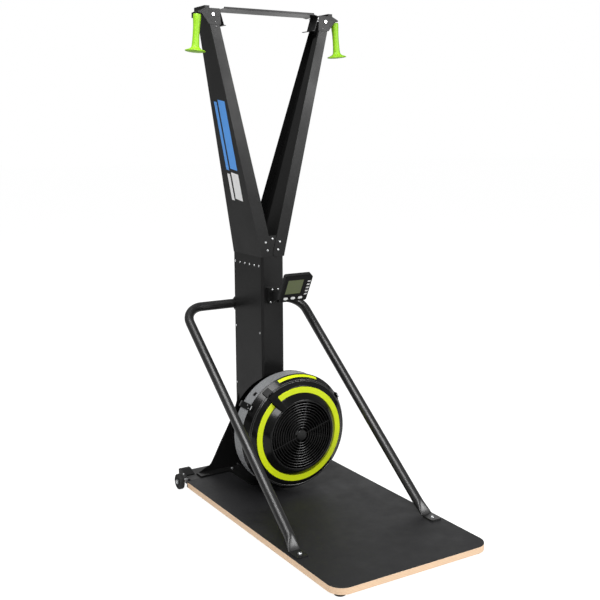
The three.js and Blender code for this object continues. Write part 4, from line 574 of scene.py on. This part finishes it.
# %% Transport wheels
WHEEL_PLACE = (359, 210, 35.5)
PIN_HEAD = 23.6
TYRE_PROFILE = [
    (5.3, 0), (16, 0), (17, 1.5), (27, 1.5), (28.5, 0), (30, 0), (33.6, 1.8), (34.5, 4), (34.5, 8.4),
    (33.8, 9), (33.8, 9.6), (34.5, 10.2), (34.5, 11.8), (33.8, 12.4), (33.8, 13), (34.5, 13.6), (34.5, 18),
    (33.6, 20.4), (31, 22), (28.4, 22), (26.2, 19), (22, 18.2), (15.5, 18.2), (14.4, 19), (14, 22), (5.3, 22)]
PIN_PROFILE = [
    (0, -31), (5, -31), (5, -24.7), (8, -24.7), (8, -0.3), (5, -0.3), (5, 22.3), (10, 22.3), (10, PIN_HEAD),
    (0, PIN_HEAD)]

for side, sign in SIDES:
    out = X * sign
    centre = beside(sign, *WHEEL_PLACE)
    turned_piece(
        f"wheel_tyre_{side}", TYRE_PROFILE, centre, out, Z, wheel_rubber, body=f"wheel_{side}",
        stands_for=(f"transport_wheel_{side}",))
    pin = bmesh.new()
    turned(pin, PIN_PROFILE, centre, out, Z, steps=32)
    bolt(pin, centre + out * (PIN_HEAD / 1000), out, across=14, height=4.4)
    keep(f"wheel_bolt_{side}", pin, plated_steel, stands_for=(f"wheel_axle_{side}",))

# %% [markdown]
# ## The base frame
#
# The column stands on a plate, with a flared gusset on each side. The gusset's edge is one smooth
# sweep, so its outline is a spline through a few measured places.


# %% A smooth line through a few places
def through(points, steps=6):
    """Places on a Catmull-Rom spline, steps between each pair of given ones."""
    line = []
    for i in range(len(points) - 1):
        a, b, c, d = (points[max(0, min(len(points) - 1, i + k))] for k in (-1, 0, 1, 2))
        for j in range(steps):
            t = j / steps
            square = (2 * a - 5 * b + 4 * c - d) * t * t
            cube = (3 * b - a - 3 * c + d) * t ** 3
            line.append(0.5 * (2 * b + (c - a) * t + square + cube))
    line.append(points[-1])
    return line


# %% Base plate, its wings and the gussets
BASE_HALF = 130
BASE_FRONT = -20
BASE_BACK = 236
WING_HALF = 275
WING_FRONT = 186
GUSSET_BACK = 230
GUSSET_REACH = 222
GUSSET_HEIGHT = 350
GUSSET_INNER = COLUMN_HALF + 0.3
GUSSET_LOW = DECK + 0.3
STRIP_NEAR = COLUMN_HALF + 1
STRIP_FAR = 67
STRIP_FRONT = 128
STRIP_BACK = 224
STRIP_TOP = PLATE_TOP + 3
FLARE_SHARES = [(0, 1), (0.06, 0.85), (0.2, 0.64), (0.44, 0.365), (0.655, 0.115), (0.765, 0.075), (1, 0)]

work = bmesh.new()
floor_plate = block(work, at(-BASE_HALF, BASE_FRONT, DECK), at(BASE_HALF, BASE_BACK, PLATE_TOP))
soften(work, 10, steps=5, edges=[edge for edge in along(floor_plate, 2) if ahead_of(edge, 0)])
for sign in (1, -1):
    block_beside(work, sign, BASE_HALF, WING_HALF, WING_FRONT, BASE_BACK, DECK, PLATE_TOP)
for sign in (1, -1):
    edge = through([
        at(sign * (GUSSET_INNER + out * GUSSET_REACH), GUSSET_BACK, GUSSET_LOW + up * GUSSET_HEIGHT)
        for out, up in FLARE_SHARES])
    plate(work, [at(sign * GUSSET_INNER, GUSSET_BACK, GUSSET_LOW), *edge], Y * 0.006)
    block_beside(work, sign, STRIP_NEAR, STRIP_FAR, STRIP_FRONT, STRIP_BACK, PLATE_TOP, STRIP_TOP)
soften(work, 0.8)
keep("base_and_gussets", work, powder_black, stands_for=("base_frame",))

# %% [markdown]
# ## The column
#
# Four sheets are riveted into a box. Seen from outside it is a tube, round at its rear corners and
# cut off at a slant at its front ones. So the walls are an open block whose upright edges are
# bevelled, given the sheet's thickness on the inside. The front plate goes on above the bend.

# %% Column walls
REAR_FOLD = 4.5
FRONT_SLANT = 8.5

work = bmesh.new()
box = block(work, at(-COLUMN_HALF, 0, PLATE_TOP), at(COLUMN_HALF, COLUMN_DEPTH, BEND))
ends = [face for face in work.faces if abs(face.normal.z) > 0.9]
bmesh.ops.delete(work, geom=ends, context="FACES_ONLY")
upright = along(box, 2)
rear = [edge for edge in upright if not ahead_of(edge, COLUMN_DEPTH / 2)]
front = [edge for edge in upright if ahead_of(edge, COLUMN_DEPTH / 2)]
soften(work, REAR_FOLD, steps=5, edges=rear)
soften(work, FRONT_SLANT, steps=1, edges=front)
slanted = [
    edge for edge in work.edges
    if edge.is_manifold and ahead_of(edge, FRONT_SLANT + 2) and edge.calc_face_angle(0) > 0.6]
soften(work, 1.6, steps=3, edges=slanted)
bmesh.ops.recalc_face_normals(work, faces=work.faces)
bmesh.ops.solidify(work, geom=list(work.faces), thickness=SHEET / 1000)
stands = ("column_side_left", "column_side_right", "column_back")
keep("column_walls", work, powder_black, stands_for=stands)

# %% The plate above the bend
TOP_PLATE_HALF = 52.2
TOP_PLATE_HEIGHT = 91

work = bmesh.new()
wide = TOP_PLATE_HALF + ARM_SLOPE * TOP_PLATE_HEIGHT
top = BEND + TOP_PLATE_HEIGHT
outline = ((-TOP_PLATE_HALF, BEND), (TOP_PLATE_HALF, BEND), (wide, top), (-wide, top))
plate(work, [at(x, 0, z) for x, z in outline], Y * (SHEET / 1000))
soften(work, 0.6)
keep("column_top_plate", work, powder_black, stands_for=("column_front",))

# %% Arms, crossbar, brackets and the clamp behind the column
for side, sign in SIDES:
    softened(f"sheet_arm_{side}", f"arm_{side}", powder_black, width=1.5, steps=3, angle=20)
    softened(f"cord_bracket_{side}", f"pulley_bracket_{side}", powder_black, width=0.7)
softened("top_crossbar", "crossbar", bar_black, width=0.9, angle=15)
softened("column_clamp", "brace_clamp", powder_black, width=1.2)

# %% [markdown]
# ## Rivets and bolts
#
# Small bright heads follow the seams: low domes and hexagons, in one mesh for each place.

# %% Rivets on the column's sides: the seam's row under the bend, then the pairs below it
SEAM_HEIGHT = 1004
SEAM_ROW = (26, 66, 110, 153, 196.5, 242)
LOWER_PAIRS = [(242, 709), (23, 711), (242, 443), (23, 443), (242, 120), (23, 120)]

work = bmesh.new()
for sign in (-1, 1):
    for y, z in [(y, SEAM_HEIGHT) for y in SEAM_ROW] + LOWER_PAIRS:
        rivet(work, at(sign * COLUMN_HALF, y, z), X * sign, radius=5.0, height=2.6)
keep("column_rivets", work, plated_steel)

# %% Rivets in front: five at the foot of the V and three on the monitor's bracket
V_FOOT_RIVETS = [(-35, 1108), (35, 1108), (-26, 1073.5), (26, 1073.5)]
V_MIDDLE_RIVET = (0, 1122)
BRACKET_RIVETS = [(-14, 905), (14, 905), (-22, 851)]
BRACKET_FACE = -19

work = bmesh.new()
for x, z in V_FOOT_RIVETS:
    rivet(work, at(x, -SHEET, z), -Y, radius=5.2, height=2.8)
x, z = V_MIDDLE_RIVET
rivet(work, at(x, 0, z), -Y, radius=5.2, height=2.8)
for x, z in BRACKET_RIVETS:
    rivet(work, at(x, BRACKET_FACE, z), -Y, radius=4.6, height=2.6)
keep("front_rivets", work, plated_steel)

# %% Bolts in base plate, gussets, feet of the brace, beam and clamp
BASE_BOLT = (110, 204)
GUSSET_BOLT_HEIGHT = DECK + 11
STRIP_RIVET = (61.5, 136)
BRACE_RIVET = (312, -720)
BEAM_RIVET = (334, 246, 51)
BEAM_BOLT = (334, 222, 32)
CLAMP_FACE = 286
CLAMP_BOLTS = [(x, z) for z in (790, 818) for x in (-32, 32)]

work = bmesh.new()
for sign in (-1, 1):
    bolt(work, beside(sign, *BASE_BOLT, PLATE_TOP), Z, across=10, height=4, washer=16)
    bolt(work, beside(sign, STRIP_FAR, GUSSET_BACK, GUSSET_BOLT_HEIGHT), -Y, across=9, height=4)
    rivet(work, beside(sign, *STRIP_RIVET, STRIP_TOP), Z, radius=4.6, height=2.6)
    rivet(work, beside(sign, *BRACE_RIVET, PLATE_TOP), Z, radius=9, height=5.5)
    rivet(work, beside(sign, *BEAM_RIVET), X * sign, radius=5, height=3)
    bolt(work, beside(sign, *BEAM_BOLT), X * sign, across=9, height=3)
for x, z in CLAMP_BOLTS:
    bolt(work, at(x, CLAMP_FACE, z), Y, across=10, height=3)
keep("frame_bolts", work, plated_steel)

# %% Two rivets in each bracket on the arms' tops
UPPER_RIVET = (254, -5.3, 2004)
LOWER_RIVET = (251, -SHEET, 1987)

work = bmesh.new()
for sign in (-1, 1):
    rivet(work, beside(sign, *UPPER_RIVET), -Y, radius=3.6, height=2.0)
    rivet(work, beside(sign, *LOWER_RIVET), -Y, radius=4.2, height=2.4)
keep("bracket_rivets", work, dull_steel)

# %% [markdown]
# ## The front brace
#
# One round tube goes from foot to foot round the back of the column. A curve with the tube's
# radius as its bevel draws it and is then made a mesh. At each foot the tube is squashed, so rings
# that grow flatter lead from it down to a flat pad.


# %% The corner of a bent tube
def bend(before, corner, after, radius, steps=12):
    a = (before - corner).normalized()
    b = (after - corner).normalized()
    half = a.angle(b) / 2
    centre = corner + (a + b).normalized() * (radius / sin(half))
    start = corner + a * (radius / tan(half)) - centre
    end = corner + b * (radius / tan(half)) - centre
    sweep = start.angle(end)
    line = []
    for i in range(steps + 1):
        share = i / steps
        spot = start * sin(sweep * (1 - share)) + end * sin(sweep * share)
        line.append(centre + spot / sin(sweep))
    return line


def pipe(name, points, radius, round_steps):
    """A round tube through the points, as a mesh."""
    curve = bpy.data.curves.new(name, "CURVE")
    curve.dimensions = "3D"
    curve.bevel_depth = radius / 1000
    curve.bevel_resolution = round_steps
    curve.use_fill_caps = True
    line = curve.splines.new("POLY")
    line.points.add(len(points) - 1)
    for place, point in zip(line.points, points):
        place.co = (*point, 1)
    helper = bpy.data.objects.new(name, curve)
    link(helper)
    mesh = bpy.data.meshes.new_from_object(helper.evaluated_get(bpy.context.evaluated_depsgraph_get()))
    bpy.data.objects.remove(helper)
    return mesh


# %% The squashed end of the tube
TUBE_RADIUS = 20.5
PAD_HALF = 25
PAD_FRONT = -748
PAD_BACK = -683
PAD_X = 314
SQUASH_LENGTH = 62
SQUASH_SINK = Vector((0, -4, -3)) / 1000  # how far the flat end lies in front of the tube's foot, and below
SQUARENESS = 0.55  # how far the end's outline goes from a circle to a box


def squashed_end(work, foot, slope, pad_middle, steps=7, around=32):
    """Rings from the round tube down to the flat pad, each joined to the next."""
    rings = []
    for i in range(steps + 1):
        share = i / steps
        ease = share * share * (3 - 2 * share)
        shift = Vector((pad_middle - foot.x, 0, 0)) + SQUASH_SINK
        middle = foot + slope * (SQUASH_LENGTH / 1000) * (1 - share) + shift * ease
        forward = slope.lerp(Y * slope.y + Z * slope.z * (1 - ease), share).normalized()
        upward = X.cross(forward).normalized()
        half_width = TUBE_RADIUS + (PAD_HALF - TUBE_RADIUS) * ease
        half_height = TUBE_RADIUS + ((PLATE_TOP - DECK) / 2 - TUBE_RADIUS) * ease
        power = 1 - SQUARENESS * ease
        ring = []
        for k in range(around):
            turn = 2 * pi * k / around
            u, v = cos(turn), sin(turn)
            across = copysign(abs(u) ** power, u) * half_width
            height = copysign(abs(v) ** power, v) * half_height
            ring.append(work.verts.new(middle + (X * across + upward * height) / 1000))
        rings.append(ring)
    for first, second in zip(rings, rings[1:]):
        for k in range(around):
            work.faces.new((first[k], first[k - 1], second[k - 1], second[k]))
    work.faces.new(rings[0])
    work.faces.new(rings[-1])


# %% The brace
BRACE_FOOT = (308, -682)
BRACE_CORNER = (298, 277.8, 804)
BRACE_BEND = 88
TUBE_END = 58  # how far above its foot the round tube ends, inside the squashed one

feet = [beside(sign, *BRACE_FOOT, PLATE_TOP) for side, sign in SIDES]
corners = [beside(sign, *BRACE_CORNER) for side, sign in SIDES]
middle = beside(0, *BRACE_CORNER)
left = bend(feet[0], corners[0], middle, BRACE_BEND / 1000)
right = bend(middle, corners[1], feet[1], BRACE_BEND / 1000)
slopes = [(corner - foot).normalized() for foot, corner in zip(feet, corners)]
ends = [foot + slope * (TUBE_END / 1000) for foot, slope in zip(feet, slopes)]
work = bmesh.new()
line = [ends[0], *left, middle, *right, ends[1]]
work.from_mesh(pipe("brace_pipe", line, TUBE_RADIUS, round_steps=8))
for sign, foot, slope in zip((-1, 1), feet, slopes):
    squashed_end(work, foot, slope, sign * PAD_X / 1000)
    low = at(sign * PAD_X - PAD_HALF, PAD_FRONT, DECK)
    high = at(sign * PAD_X + PAD_HALF, PAD_BACK, PLATE_TOP)
    soften(work, 9, steps=5, edges=along(block(work, low, high), 2))
    rims = [
        edge for edge in work.edges
        if edge.calc_face_angle(0) > 1.2 and max(v.co.z for v in edge.verts) < (PLATE_TOP + 0.5) / 1000]
    soften(work, 1.2, edges=rims)
keep("bent_brace", work, tube_black, stands_for=("brace_tube",))

# %% [markdown]
# ## The flywheel housing
#
# Rear cowl, perforated band and front cowl are turned shapes, so each is a profile spun round the
# fan's axle. The front cowl has a lip over the band, a slanted shoulder with two fine beads, the
# seat of the bright ring and a cone up to the grille.


# %% Turning a part of the housing
def housing_turn(name, profile, material, stands_for=(), steps=128, smooth=28):
    turned_piece(
        name, profile, FAN_CENTRE, -Y, Z, material, steps=steps, stands_for=stands_for, smooth=smooth)


def turn_about_axle(work, verts, angle):
    bmesh.ops.rotate(work, cent=FAN_CENTRE, matrix=Matrix.Rotation(angle, 3, "Y"), verts=verts)


def block_over_axle(work, half, front, back, low, high):
    """A block with its heights counted from the fan's axle."""
    return block(work, at(-half, front, AXLE + low), at(half, back, AXLE + high))


def partly_turned(work, profile, start, sweep, steps):
    """A profile turned through a sweep round the fan's axle, with closed ends."""
    turned(work, profile, FAN_CENTRE, -Y, Z, steps=steps, angle=sweep)
    bmesh.ops.holes_fill(work, edges=[edge for edge in work.edges if edge.is_boundary], sides=16)
    turn_about_axle(work, work.verts, start)


# %% Rear cowl and band
REAR_COWL = [
    (16, 0), (206, 0), (212, 1.2), (216, 4.5), (219, 11), (224, 25), (224.6, 26), (226.4, 26), (227, 28),
    (244.4, 80), (245.0, 84), (248.9, 84), (249.3, 86), (249.3, 92), (246.0, 92), (241, 80), (223, 28),
    (215, 11), (208, 4), (16, 3)]
BAND = [(248.6, 92), (251.8, 165), (249.8, 165), (246.6, 92)]
housing_turn("rear_cowl", REAR_COWL, rear_black, ("housing_rear",))
housing_turn("perforated_band", BAND, band_grey, ("housing_band",), steps=160)

# %% Front cowl: lip, shoulder, ring's seat, cone, rim of the grille and the way back inside
OUTER_BEAD = ((233.6, 193.0), (231.6, 196.0))
INNER_BEAD = ((229.4, 198.4), (226.2, 200.2))
RING_SEAT = 211
FRONT_COWL = [
    (249.8, 163), (252.0, 163), (252.5, 164), (252.4, 166), (251.4, 167.4), (250.6, 167.4), (249.8, 168.4),
    *OUTER_BEAD, (230.8, 197.0), (230.6, 197.4), *INNER_BEAD, (212.5, 208.9), (209.6, 210.4), (208.8, 210.8),
    (208.4, RING_SEAT), (178.5, RING_SEAT), (178.2, 213.6), (176.5, 216), (157, 233.2), (154.5, 235.3),
    (152.6, 236), (151.4, 235.6), (151, 234), (151, 229), (146, 229), (146, 226), (153, 226), (174, 208),
    (207, 208), (227, 195.6), (246.6, 167), (247.4, 163)]
housing_turn("front_cowl", FRONT_COWL, moulded_black, ("housing_front",), steps=160)


# %% The beads: half rounds from one place of the profile to the next
def bead_line(start, end, steps=6):
    middle = Vector(start).lerp(Vector(end), 0.5)
    arm = Vector(start) - middle
    line = [tuple(middle + Matrix.Rotation(pi * i / steps, 2) @ arm) for i in range(steps + 1)]
    return [*line, (start[0] - 1.5, start[1] - 2.0)]


# The beads take the lighter finish above, a painted highlight along the cowl's arris.
for place, (start, end) in (("outer", OUTER_BEAD), ("inner", INNER_BEAD)):
    housing_turn(f"cowl_bead_{place}", bead_line(start, end), bead_painted_glint, steps=160, smooth=60)

# %% The bright ring stops on both sides of the damper lever
DAMPER = radians(-35.5)
RING_GAP = radians(5.3)
RING_PROFILE = [
    (180, RING_SEAT), (180, 213.0), (180.6, 213.6), (204.8, 213.6), (205.4, 213.0), (205.4, RING_SEAT)]

work = bmesh.new()
partly_turned(work, RING_PROFILE, DAMPER - RING_GAP, 2 * pi - 2 * RING_GAP, steps=150)
keep("bright_ring", work, lime_trim, stands_for=("accent_ring",))

# %% The bright strip on the cowl's shoulder
STRIP_PROFILE = [(248.2, 169.6), (249.2, 170.3), (241.1, 182.6), (240.1, 181.9)]
STRIP_SWEEP = radians(45)
STRIP_START = radians(26)

work = bmesh.new()
partly_turned(work, STRIP_PROFILE, STRIP_START, STRIP_SWEEP, steps=60)
keep("side_strip", work, lime_trim)

# %% [markdown]
# ## The grille
#
# Plain round rings, thin spokes and a slightly domed hub are moulded in one. Each ring is a small
# circle spun round the axle, so its wire is round and catches a fine highlight.

# %% Rings, spokes and hub
GRILLE_RINGS = 10
FIRST_RING = 34.0
RING_PITCH = 11.4
WIRE = 1.7
WIRE_PLACE = 231.6
GRILLE_RIM = [(145.6, 229), (150.7, 229), (150.7, 234), (149.6, 235), (147, 235), (145.6, 234)]
GRILLE_HUB = [(0, 229.5), (22, 229.5), (23, 230.4), (23, 232.4), (22, 233.8), (14, 235), (0, 235.4)]
SPOKES = (radians(-17.5), radians(-79))
SPOKE = (148, -WIRE_PLACE - 1, -WIRE_PLACE + 1.8, -1.2, 1.2)

work = bmesh.new()
wire = [(WIRE * cos(a), WIRE * sin(a)) for a in [i * pi / 4 for i in range(8)]]
for i in range(GRILLE_RINGS):
    radius = FIRST_RING + i * RING_PITCH
    turned(work, [(radius + u, WIRE_PLACE + v) for u, v in wire], FAN_CENTRE, -Y, Z, steps=96)
turned(work, GRILLE_RIM, FAN_CENTRE, -Y, Z, steps=96)
turned(work, GRILLE_HUB, FAN_CENTRE, -Y, Z, steps=48)
for angle in SPOKES:
    turn_about_axle(work, block_over_axle(work, *SPOKE), angle)
keep("fan_guard", work, guard_black, stands_for=("fan_grille",))

# %% [markdown]
# ## Lever, clips and straps on the housing
#
# The damper lever hugs the front cowl: it comes down over the cone as a pointer, crosses the ring's
# gap and folds back over the rim. A copy of its solid is stood upright, gets its bevels, a rib and a
# ring-shaped knob, and is turned back to where it stands in the ring's gap.

# %% The damper lever
RIB_HALF = 1.6
RIB_VIEW = [
    (-242.0, 158), (-220.0, 186), (-220.0, 207), (-206.5, 229), (-208.6, 229), (-222.2, 208), (-222.2, 185),
    (-243.6, 157)]
KNOB_PROFILE = [(4.8, -3), (9.4, -3), (9.4, 1.6), (8.6, 2.8), (6.2, 3.2), (4.8, 2.2)]
KNOB_PLACE = (-207.0, 233.5)
SHOULDER = Vector((0, -11.5, 18)).normalized()  # the way the folded end slants

work = copy_of("damper_lever")
turn_about_axle(work, work.verts, -DAMPER)
soften(work, 1.8, steps=4, angle=18)
rib = plate(work, [at(-RIB_HALF, y, AXLE + r) for y, r in RIB_VIEW], X * (2 * RIB_HALF / 1000))
soften(work, 0.7, edges=edges_of(rib, turn=0.8))
y, r = KNOB_PLACE
turned(work, KNOB_PROFILE, at(0, y, AXLE + r), SHOULDER.cross(X), SHOULDER, steps=40)
turn_about_axle(work, work.verts, DAMPER)
keep("damper_pointer", work, bezel_black, body="damper", stands_for=("damper_lever",))

# %% Straps across the band, with a toggle clip each, and a tab beside each strap
STRAP_ANGLES = (-57, 60)
TAB_ANGLES = (-43, 41)
STRAP_SWEEP = radians(6)
STRAP_PROFILE = [
    (237.5, 58), (239.5, 58), (250.8, 83), (251.4, 94), (253.8, 164), (253.8, 169), (246.4, 181.5),
    (245.2, 180.8), (252.6, 168.4), (252.6, 165), (249.9, 93), (249.6, 84)]
CLIP_TOP = 259
CLIP = (11, -172, -140, 252, CLIP_TOP)
CLIP_BAR = (9, -176, -173, 252, 256)
TAB = (8, -146, -133, 250, 254)
SCREWS = ((-5.5, -166), (5.5, -150))


def add_strap(straps, angle):
    strap = bmesh.new()
    partly_turned(strap, STRAP_PROFILE, angle + STRAP_SWEEP / 2, STRAP_SWEEP, steps=6)
    helper = bpy.data.meshes.new("strap_part")
    strap.to_mesh(helper)
    strap.free()
    straps.from_mesh(helper)
    body = block_over_axle(straps, *CLIP)
    edges = edges_of(body)
    turn_about_axle(straps, body, angle)
    soften(straps, 1.8, steps=3, edges=edges)


straps = bmesh.new()
clips = bmesh.new()
for angle in map(radians, STRAP_ANGLES):
    add_strap(straps, angle)
    turn = Matrix.Rotation(angle, 4, "Y")
    if angle < 0:
        for x, y in SCREWS:
            spot = turn @ Vector((x, 0, CLIP_TOP)) / 1000
            rivet(clips, at(0, y, AXLE) + spot, turn @ Z, radius=3.0, height=1.5)
    turn_about_axle(clips, block_over_axle(clips, *CLIP_BAR), angle)
for degrees in TAB_ANGLES:
    turn_about_axle(straps, block_over_axle(straps, *TAB), radians(degrees))
keep("cowl_straps", straps, bezel_black)
keep("clip_screws", clips, plated_steel)

# %% [markdown]
# ## Handles and their cords
#
# A handle is turned: a plain round top, a soft waist and a wide thin flare that stops the hand. It
# hangs in line with its cord, five degrees outwards. The short cord between bracket and handle is a
# turned piece that rides on no body, so it stays where it is.

# %% Handles
HANDLE_PLACE = (325.6, 14, 2034.2)
LEAN = radians(5)
CORD_RADIUS = 3.15
GRIP_PROFILE = [
    (0, 0), (3.4, 0), (3.6, 1.2), (12.4, 1.2), (14.6, 1.8), (15.7, 3.4), (16, 6), (16, 17), (15.6, 24),
    (14.9, 33), (14.1, 44), (13.6, 56), (13.5, 70), (13.5, 84), (13.8, 96), (14.4, 107), (14.9, 116),
    (15.3, 123), (16.4, 128.5), (19, 132.6), (24, 136.2), (30, 138.9), (36, 140.9), (39.4, 142),
    (40.8, 143.3), (41, 144.6), (40.4, 146), (38.6, 147), (34, 147.9), (24, 149.2), (12, 149.9), (0, 150)]
CORD_PROFILE = [(0, -5.5), (CORD_RADIUS, -5.5), (CORD_RADIUS, 1.0), (0, 1.0)]

for side, sign in SIDES:
    down = Vector((sign * sin(LEAN), 0, -cos(LEAN)))
    top = beside(sign, *HANDLE_PLACE)
    turned_piece(
        f"grip_{side}", GRIP_PROFILE, top, down, Y, grip_green, steps=72, body=f"handle_{side}",
        stands_for=(f"handle_{side}",), smooth=40)
    run = turned_piece(
        f"pull_cord_{side}", CORD_PROFILE, top, down, Y, cord_black, steps=20, body=None)
    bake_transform(run)

# %% [markdown]
# ## The monitor
#
# The case leans towards the user on a pin between two ears. Case, bezel and keys are softened copies
# of their solids. The window and the little marks beside it are thin plates set into the face.

# %% Case, bezel, keys and bracket
softened("monitor_case", "monitor_back", satin_black, width=1.8, body="monitor", steps=3)
softened("monitor_face", "monitor_bezel", bezel_black, width=0.9, body="monitor", steps=3)
softened("monitor_window", "monitor_screen", screen_olive, width=0.4, body="monitor")
for number in (1, 2, 3):
    softened(
        f"key_{number}", f"monitor_button_{number}", key_white, width=0.9, body=f"button_{number}", steps=3)
softened("monitor_arm", "monitor_bracket", powder_black, width=0.6)

# %% The light marks beside the window
MONITOR = at(0, -195, 931)
TILT = radians(28)
MARK_ROWS = 5
FIRST_MARK = 35.5
MARK_PITCH = 16.4
MARK_SPANS = ((44.5, 49.0), (51.0, 57.0))
MARK_HALF = 3.4
MARK_SLANT = 1.2


def on_monitor(x, y, z):
    """A place on the monitor's own face: across, into the case and up, in millimetres."""
    return MONITOR + Matrix.Rotation(TILT, 3, "X") @ Vector((x, y, z)) / 1000


work = bmesh.new()
inwards = on_monitor(0, 1, 0) - on_monitor(0, 0, 0)
for i in range(MARK_ROWS):
    z = FIRST_MARK - i * MARK_PITCH
    for left, right in MARK_SPANS:
        outline = (
            (left, -MARK_HALF), (right, -MARK_HALF), (right + MARK_SLANT, MARK_HALF),
            (left + MARK_SLANT, MARK_HALF))
        plate(work, [on_monitor(x, -0.25, z + up) for x, up in outline], inwards * 0.5)
keep("monitor_marks", work, mark_grey, body="monitor")

# %% [markdown]
# ## A plain stripe on the left arm
#
# The arm's outer face carries a plain two-colour stripe: a broad band and a thin one beside it,
# white below and blue above. Each is a film a third of a millimetre thick that lies on the sheet.

# %% The stripe
STRIPE_FOOT = 245  # the height above the bend at which the two edges were measured
FRONT_EDGE = 55
FRONT_TAPER = 33.5 / 415
BACK_EDGE = 153
BACK_TAPER = 37 / 415
STRIPE_SLANT = 14
BAND_SHARES = ((0.0, 0.62), (0.76, 1.0))


def on_arm(height, share):
    """A place on the left arm's outer face, by height above the bend and share of the stripe's width."""
    front = FRONT_EDGE - (height - STRIPE_FOOT) * FRONT_TAPER
    back = BACK_EDGE - (height - STRIPE_FOOT) * BACK_TAPER
    return at(-COLUMN_HALF - ARM_SLOPE * height - 0.05, front + (back - front) * share, BEND + height)


for colour, material, low, high in (("white", stripe_white, 238, 352), ("blue", stripe_blue, 368, 652)):
    work = bmesh.new()
    for start, end in BAND_SHARES:
        slant = STRIPE_SLANT * (end - start)
        corners = ((low, start), (low + slant, end), (high + slant, end), (high, start))
        plate(work, [on_arm(height, share) for height, share in corners], X * -0.0003)
    keep(f"arm_stripe_{colour}", work, material)

# %% [markdown]
# ## Finishes on the solids that stay
#
# Pulleys, spools, axle, cords and the fan are right as they are. They only need their finish.


# %% Give the remaining CAD solids their finish
def dress(material, *nodes):
    for node in nodes:
        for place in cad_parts[node].material_slots:
            place.link = "OBJECT"
            place.material = material


both = ("left", "right")
dress(fan_plastic, "fan_wheel")
dress(dull_steel, "fan_axle", "bearing_front", "bearing_rear", "bungee_anchor_rod", "monitor_tilt_pin")
dress(plated_steel, *(f"top_pulley_pin_{side}" for side in both))
dress(satin_black, "bearing_bridge", *(f"cord_spool_{side}" for side in both))
dress(moulded_black, *(f"{kind}_pulley_{side}" for kind in ("top", "idler") for side in both))
dress(cord_black, *(f"{kind}_{side}" for kind in ("drive_cord", "return_bungee") for side in both))

# %% [markdown]
# ## Floor and light
#
# The machine stands on a plain floor in soft studio light. The floor and the room are white to the
# camera, but dim in reflections and to the light that bounces, so that the black paint stays black.
# A large key light stands to the front left and another hangs over the left side, where it draws the
# streak on the tube. A fill to the front right lights the arms' flanges, and a wide card behind the
# machine gives the mat its sheen.

# %% Floor
WHITE = (1, 1, 1, 1)
SEEN_FLOOR = (0.30, 0.93)  # colour and glow to the camera
FELT_FLOOR = (0.45, 0.22)  # colour and glow to everything else


def mix_for_camera(tree, others, camera, output):
    """One shader for camera rays and another for all others."""
    path = add_node(tree, "LightPath")
    mix = add_node(tree, "MixShader", Fac=path.outputs["Is Camera Ray"])
    give(tree, mix.inputs[1], others.outputs[0])
    give(tree, mix.inputs[2], camera.outputs[0])
    feed(tree, tree.nodes[output], Surface=mix.outputs["Shader"])


work = bmesh.new()
bmesh.ops.create_grid(work, x_segments=1, y_segments=1, size=40)
bmesh.ops.translate(work, verts=work.verts, vec=(0, 0, -0.0004))
mesh = bpy.data.meshes.new("studio_floor")
work.to_mesh(mesh)
work.free()
pale, tree, seen = new_material("pale_floor")
felt = add_node(tree, "BsdfPrincipled")
for shader, (colour, glow) in ((seen, SEEN_FLOOR), (felt, FELT_FLOOR)):
    feed(
        tree, shader, Base_Color=(colour, colour, colour, 1), Emission_Color=WHITE, Emission_Strength=glow,
        Roughness=0.9, Specular_IOR_Level=0.0)
mix_for_camera(tree, felt, seen, "Material Output")
mesh.materials.append(pale)
floor = bpy.data.objects.new("studio_floor", mesh)
link(floor)


# %% Lights
def soft_light(name, place, target, size, power):
    data = bpy.data.lights.new(name, "AREA")
    data.shape = "RECTANGLE"
    data.size, data.size_y = size
    data.energy = power
    light = bpy.data.objects.new(name, data)
    light.location = place
    light.visible_camera = False
    light.rotation_euler = (Vector(target) - Vector(place)).to_track_quat("-Z", "Y").to_euler()
    link(light)


soft_light("key", (-2.6, -3.6, 4.4), (0, 0, 0.8), (2.4, 1.6), 130)
soft_light("overhead", (-1.4, -0.5, 3.9), (-1.4, -0.5, 0), (2.4, 1.3), 95)
soft_light("fill", (2.6, -4.0, 2.4), (0, 0, 1.6), (1.8, 1.6), 125)
soft_light("card", (2.4, 4.6, 1.7), (0, 0.4, 0.9), (5.6, 3.2), 36)

# %% The room
SEEN_ROOM = 1.0
FELT_ROOM = 0.22

world = bpy.data.worlds.new("studio_room")
scene.world = world
world.use_nodes = True
tree = world.node_tree
felt = tree.nodes["Background"]
seen = add_node(tree, "Background")
for room, strength in ((felt, FELT_ROOM), (seen, SEEN_ROOM)):
    feed(tree, room, Color=WHITE, Strength=strength)
mix_for_camera(tree, felt, seen, "World Output")
scene.view_settings.view_transform = "Standard"
scene.view_settings.look = "None"
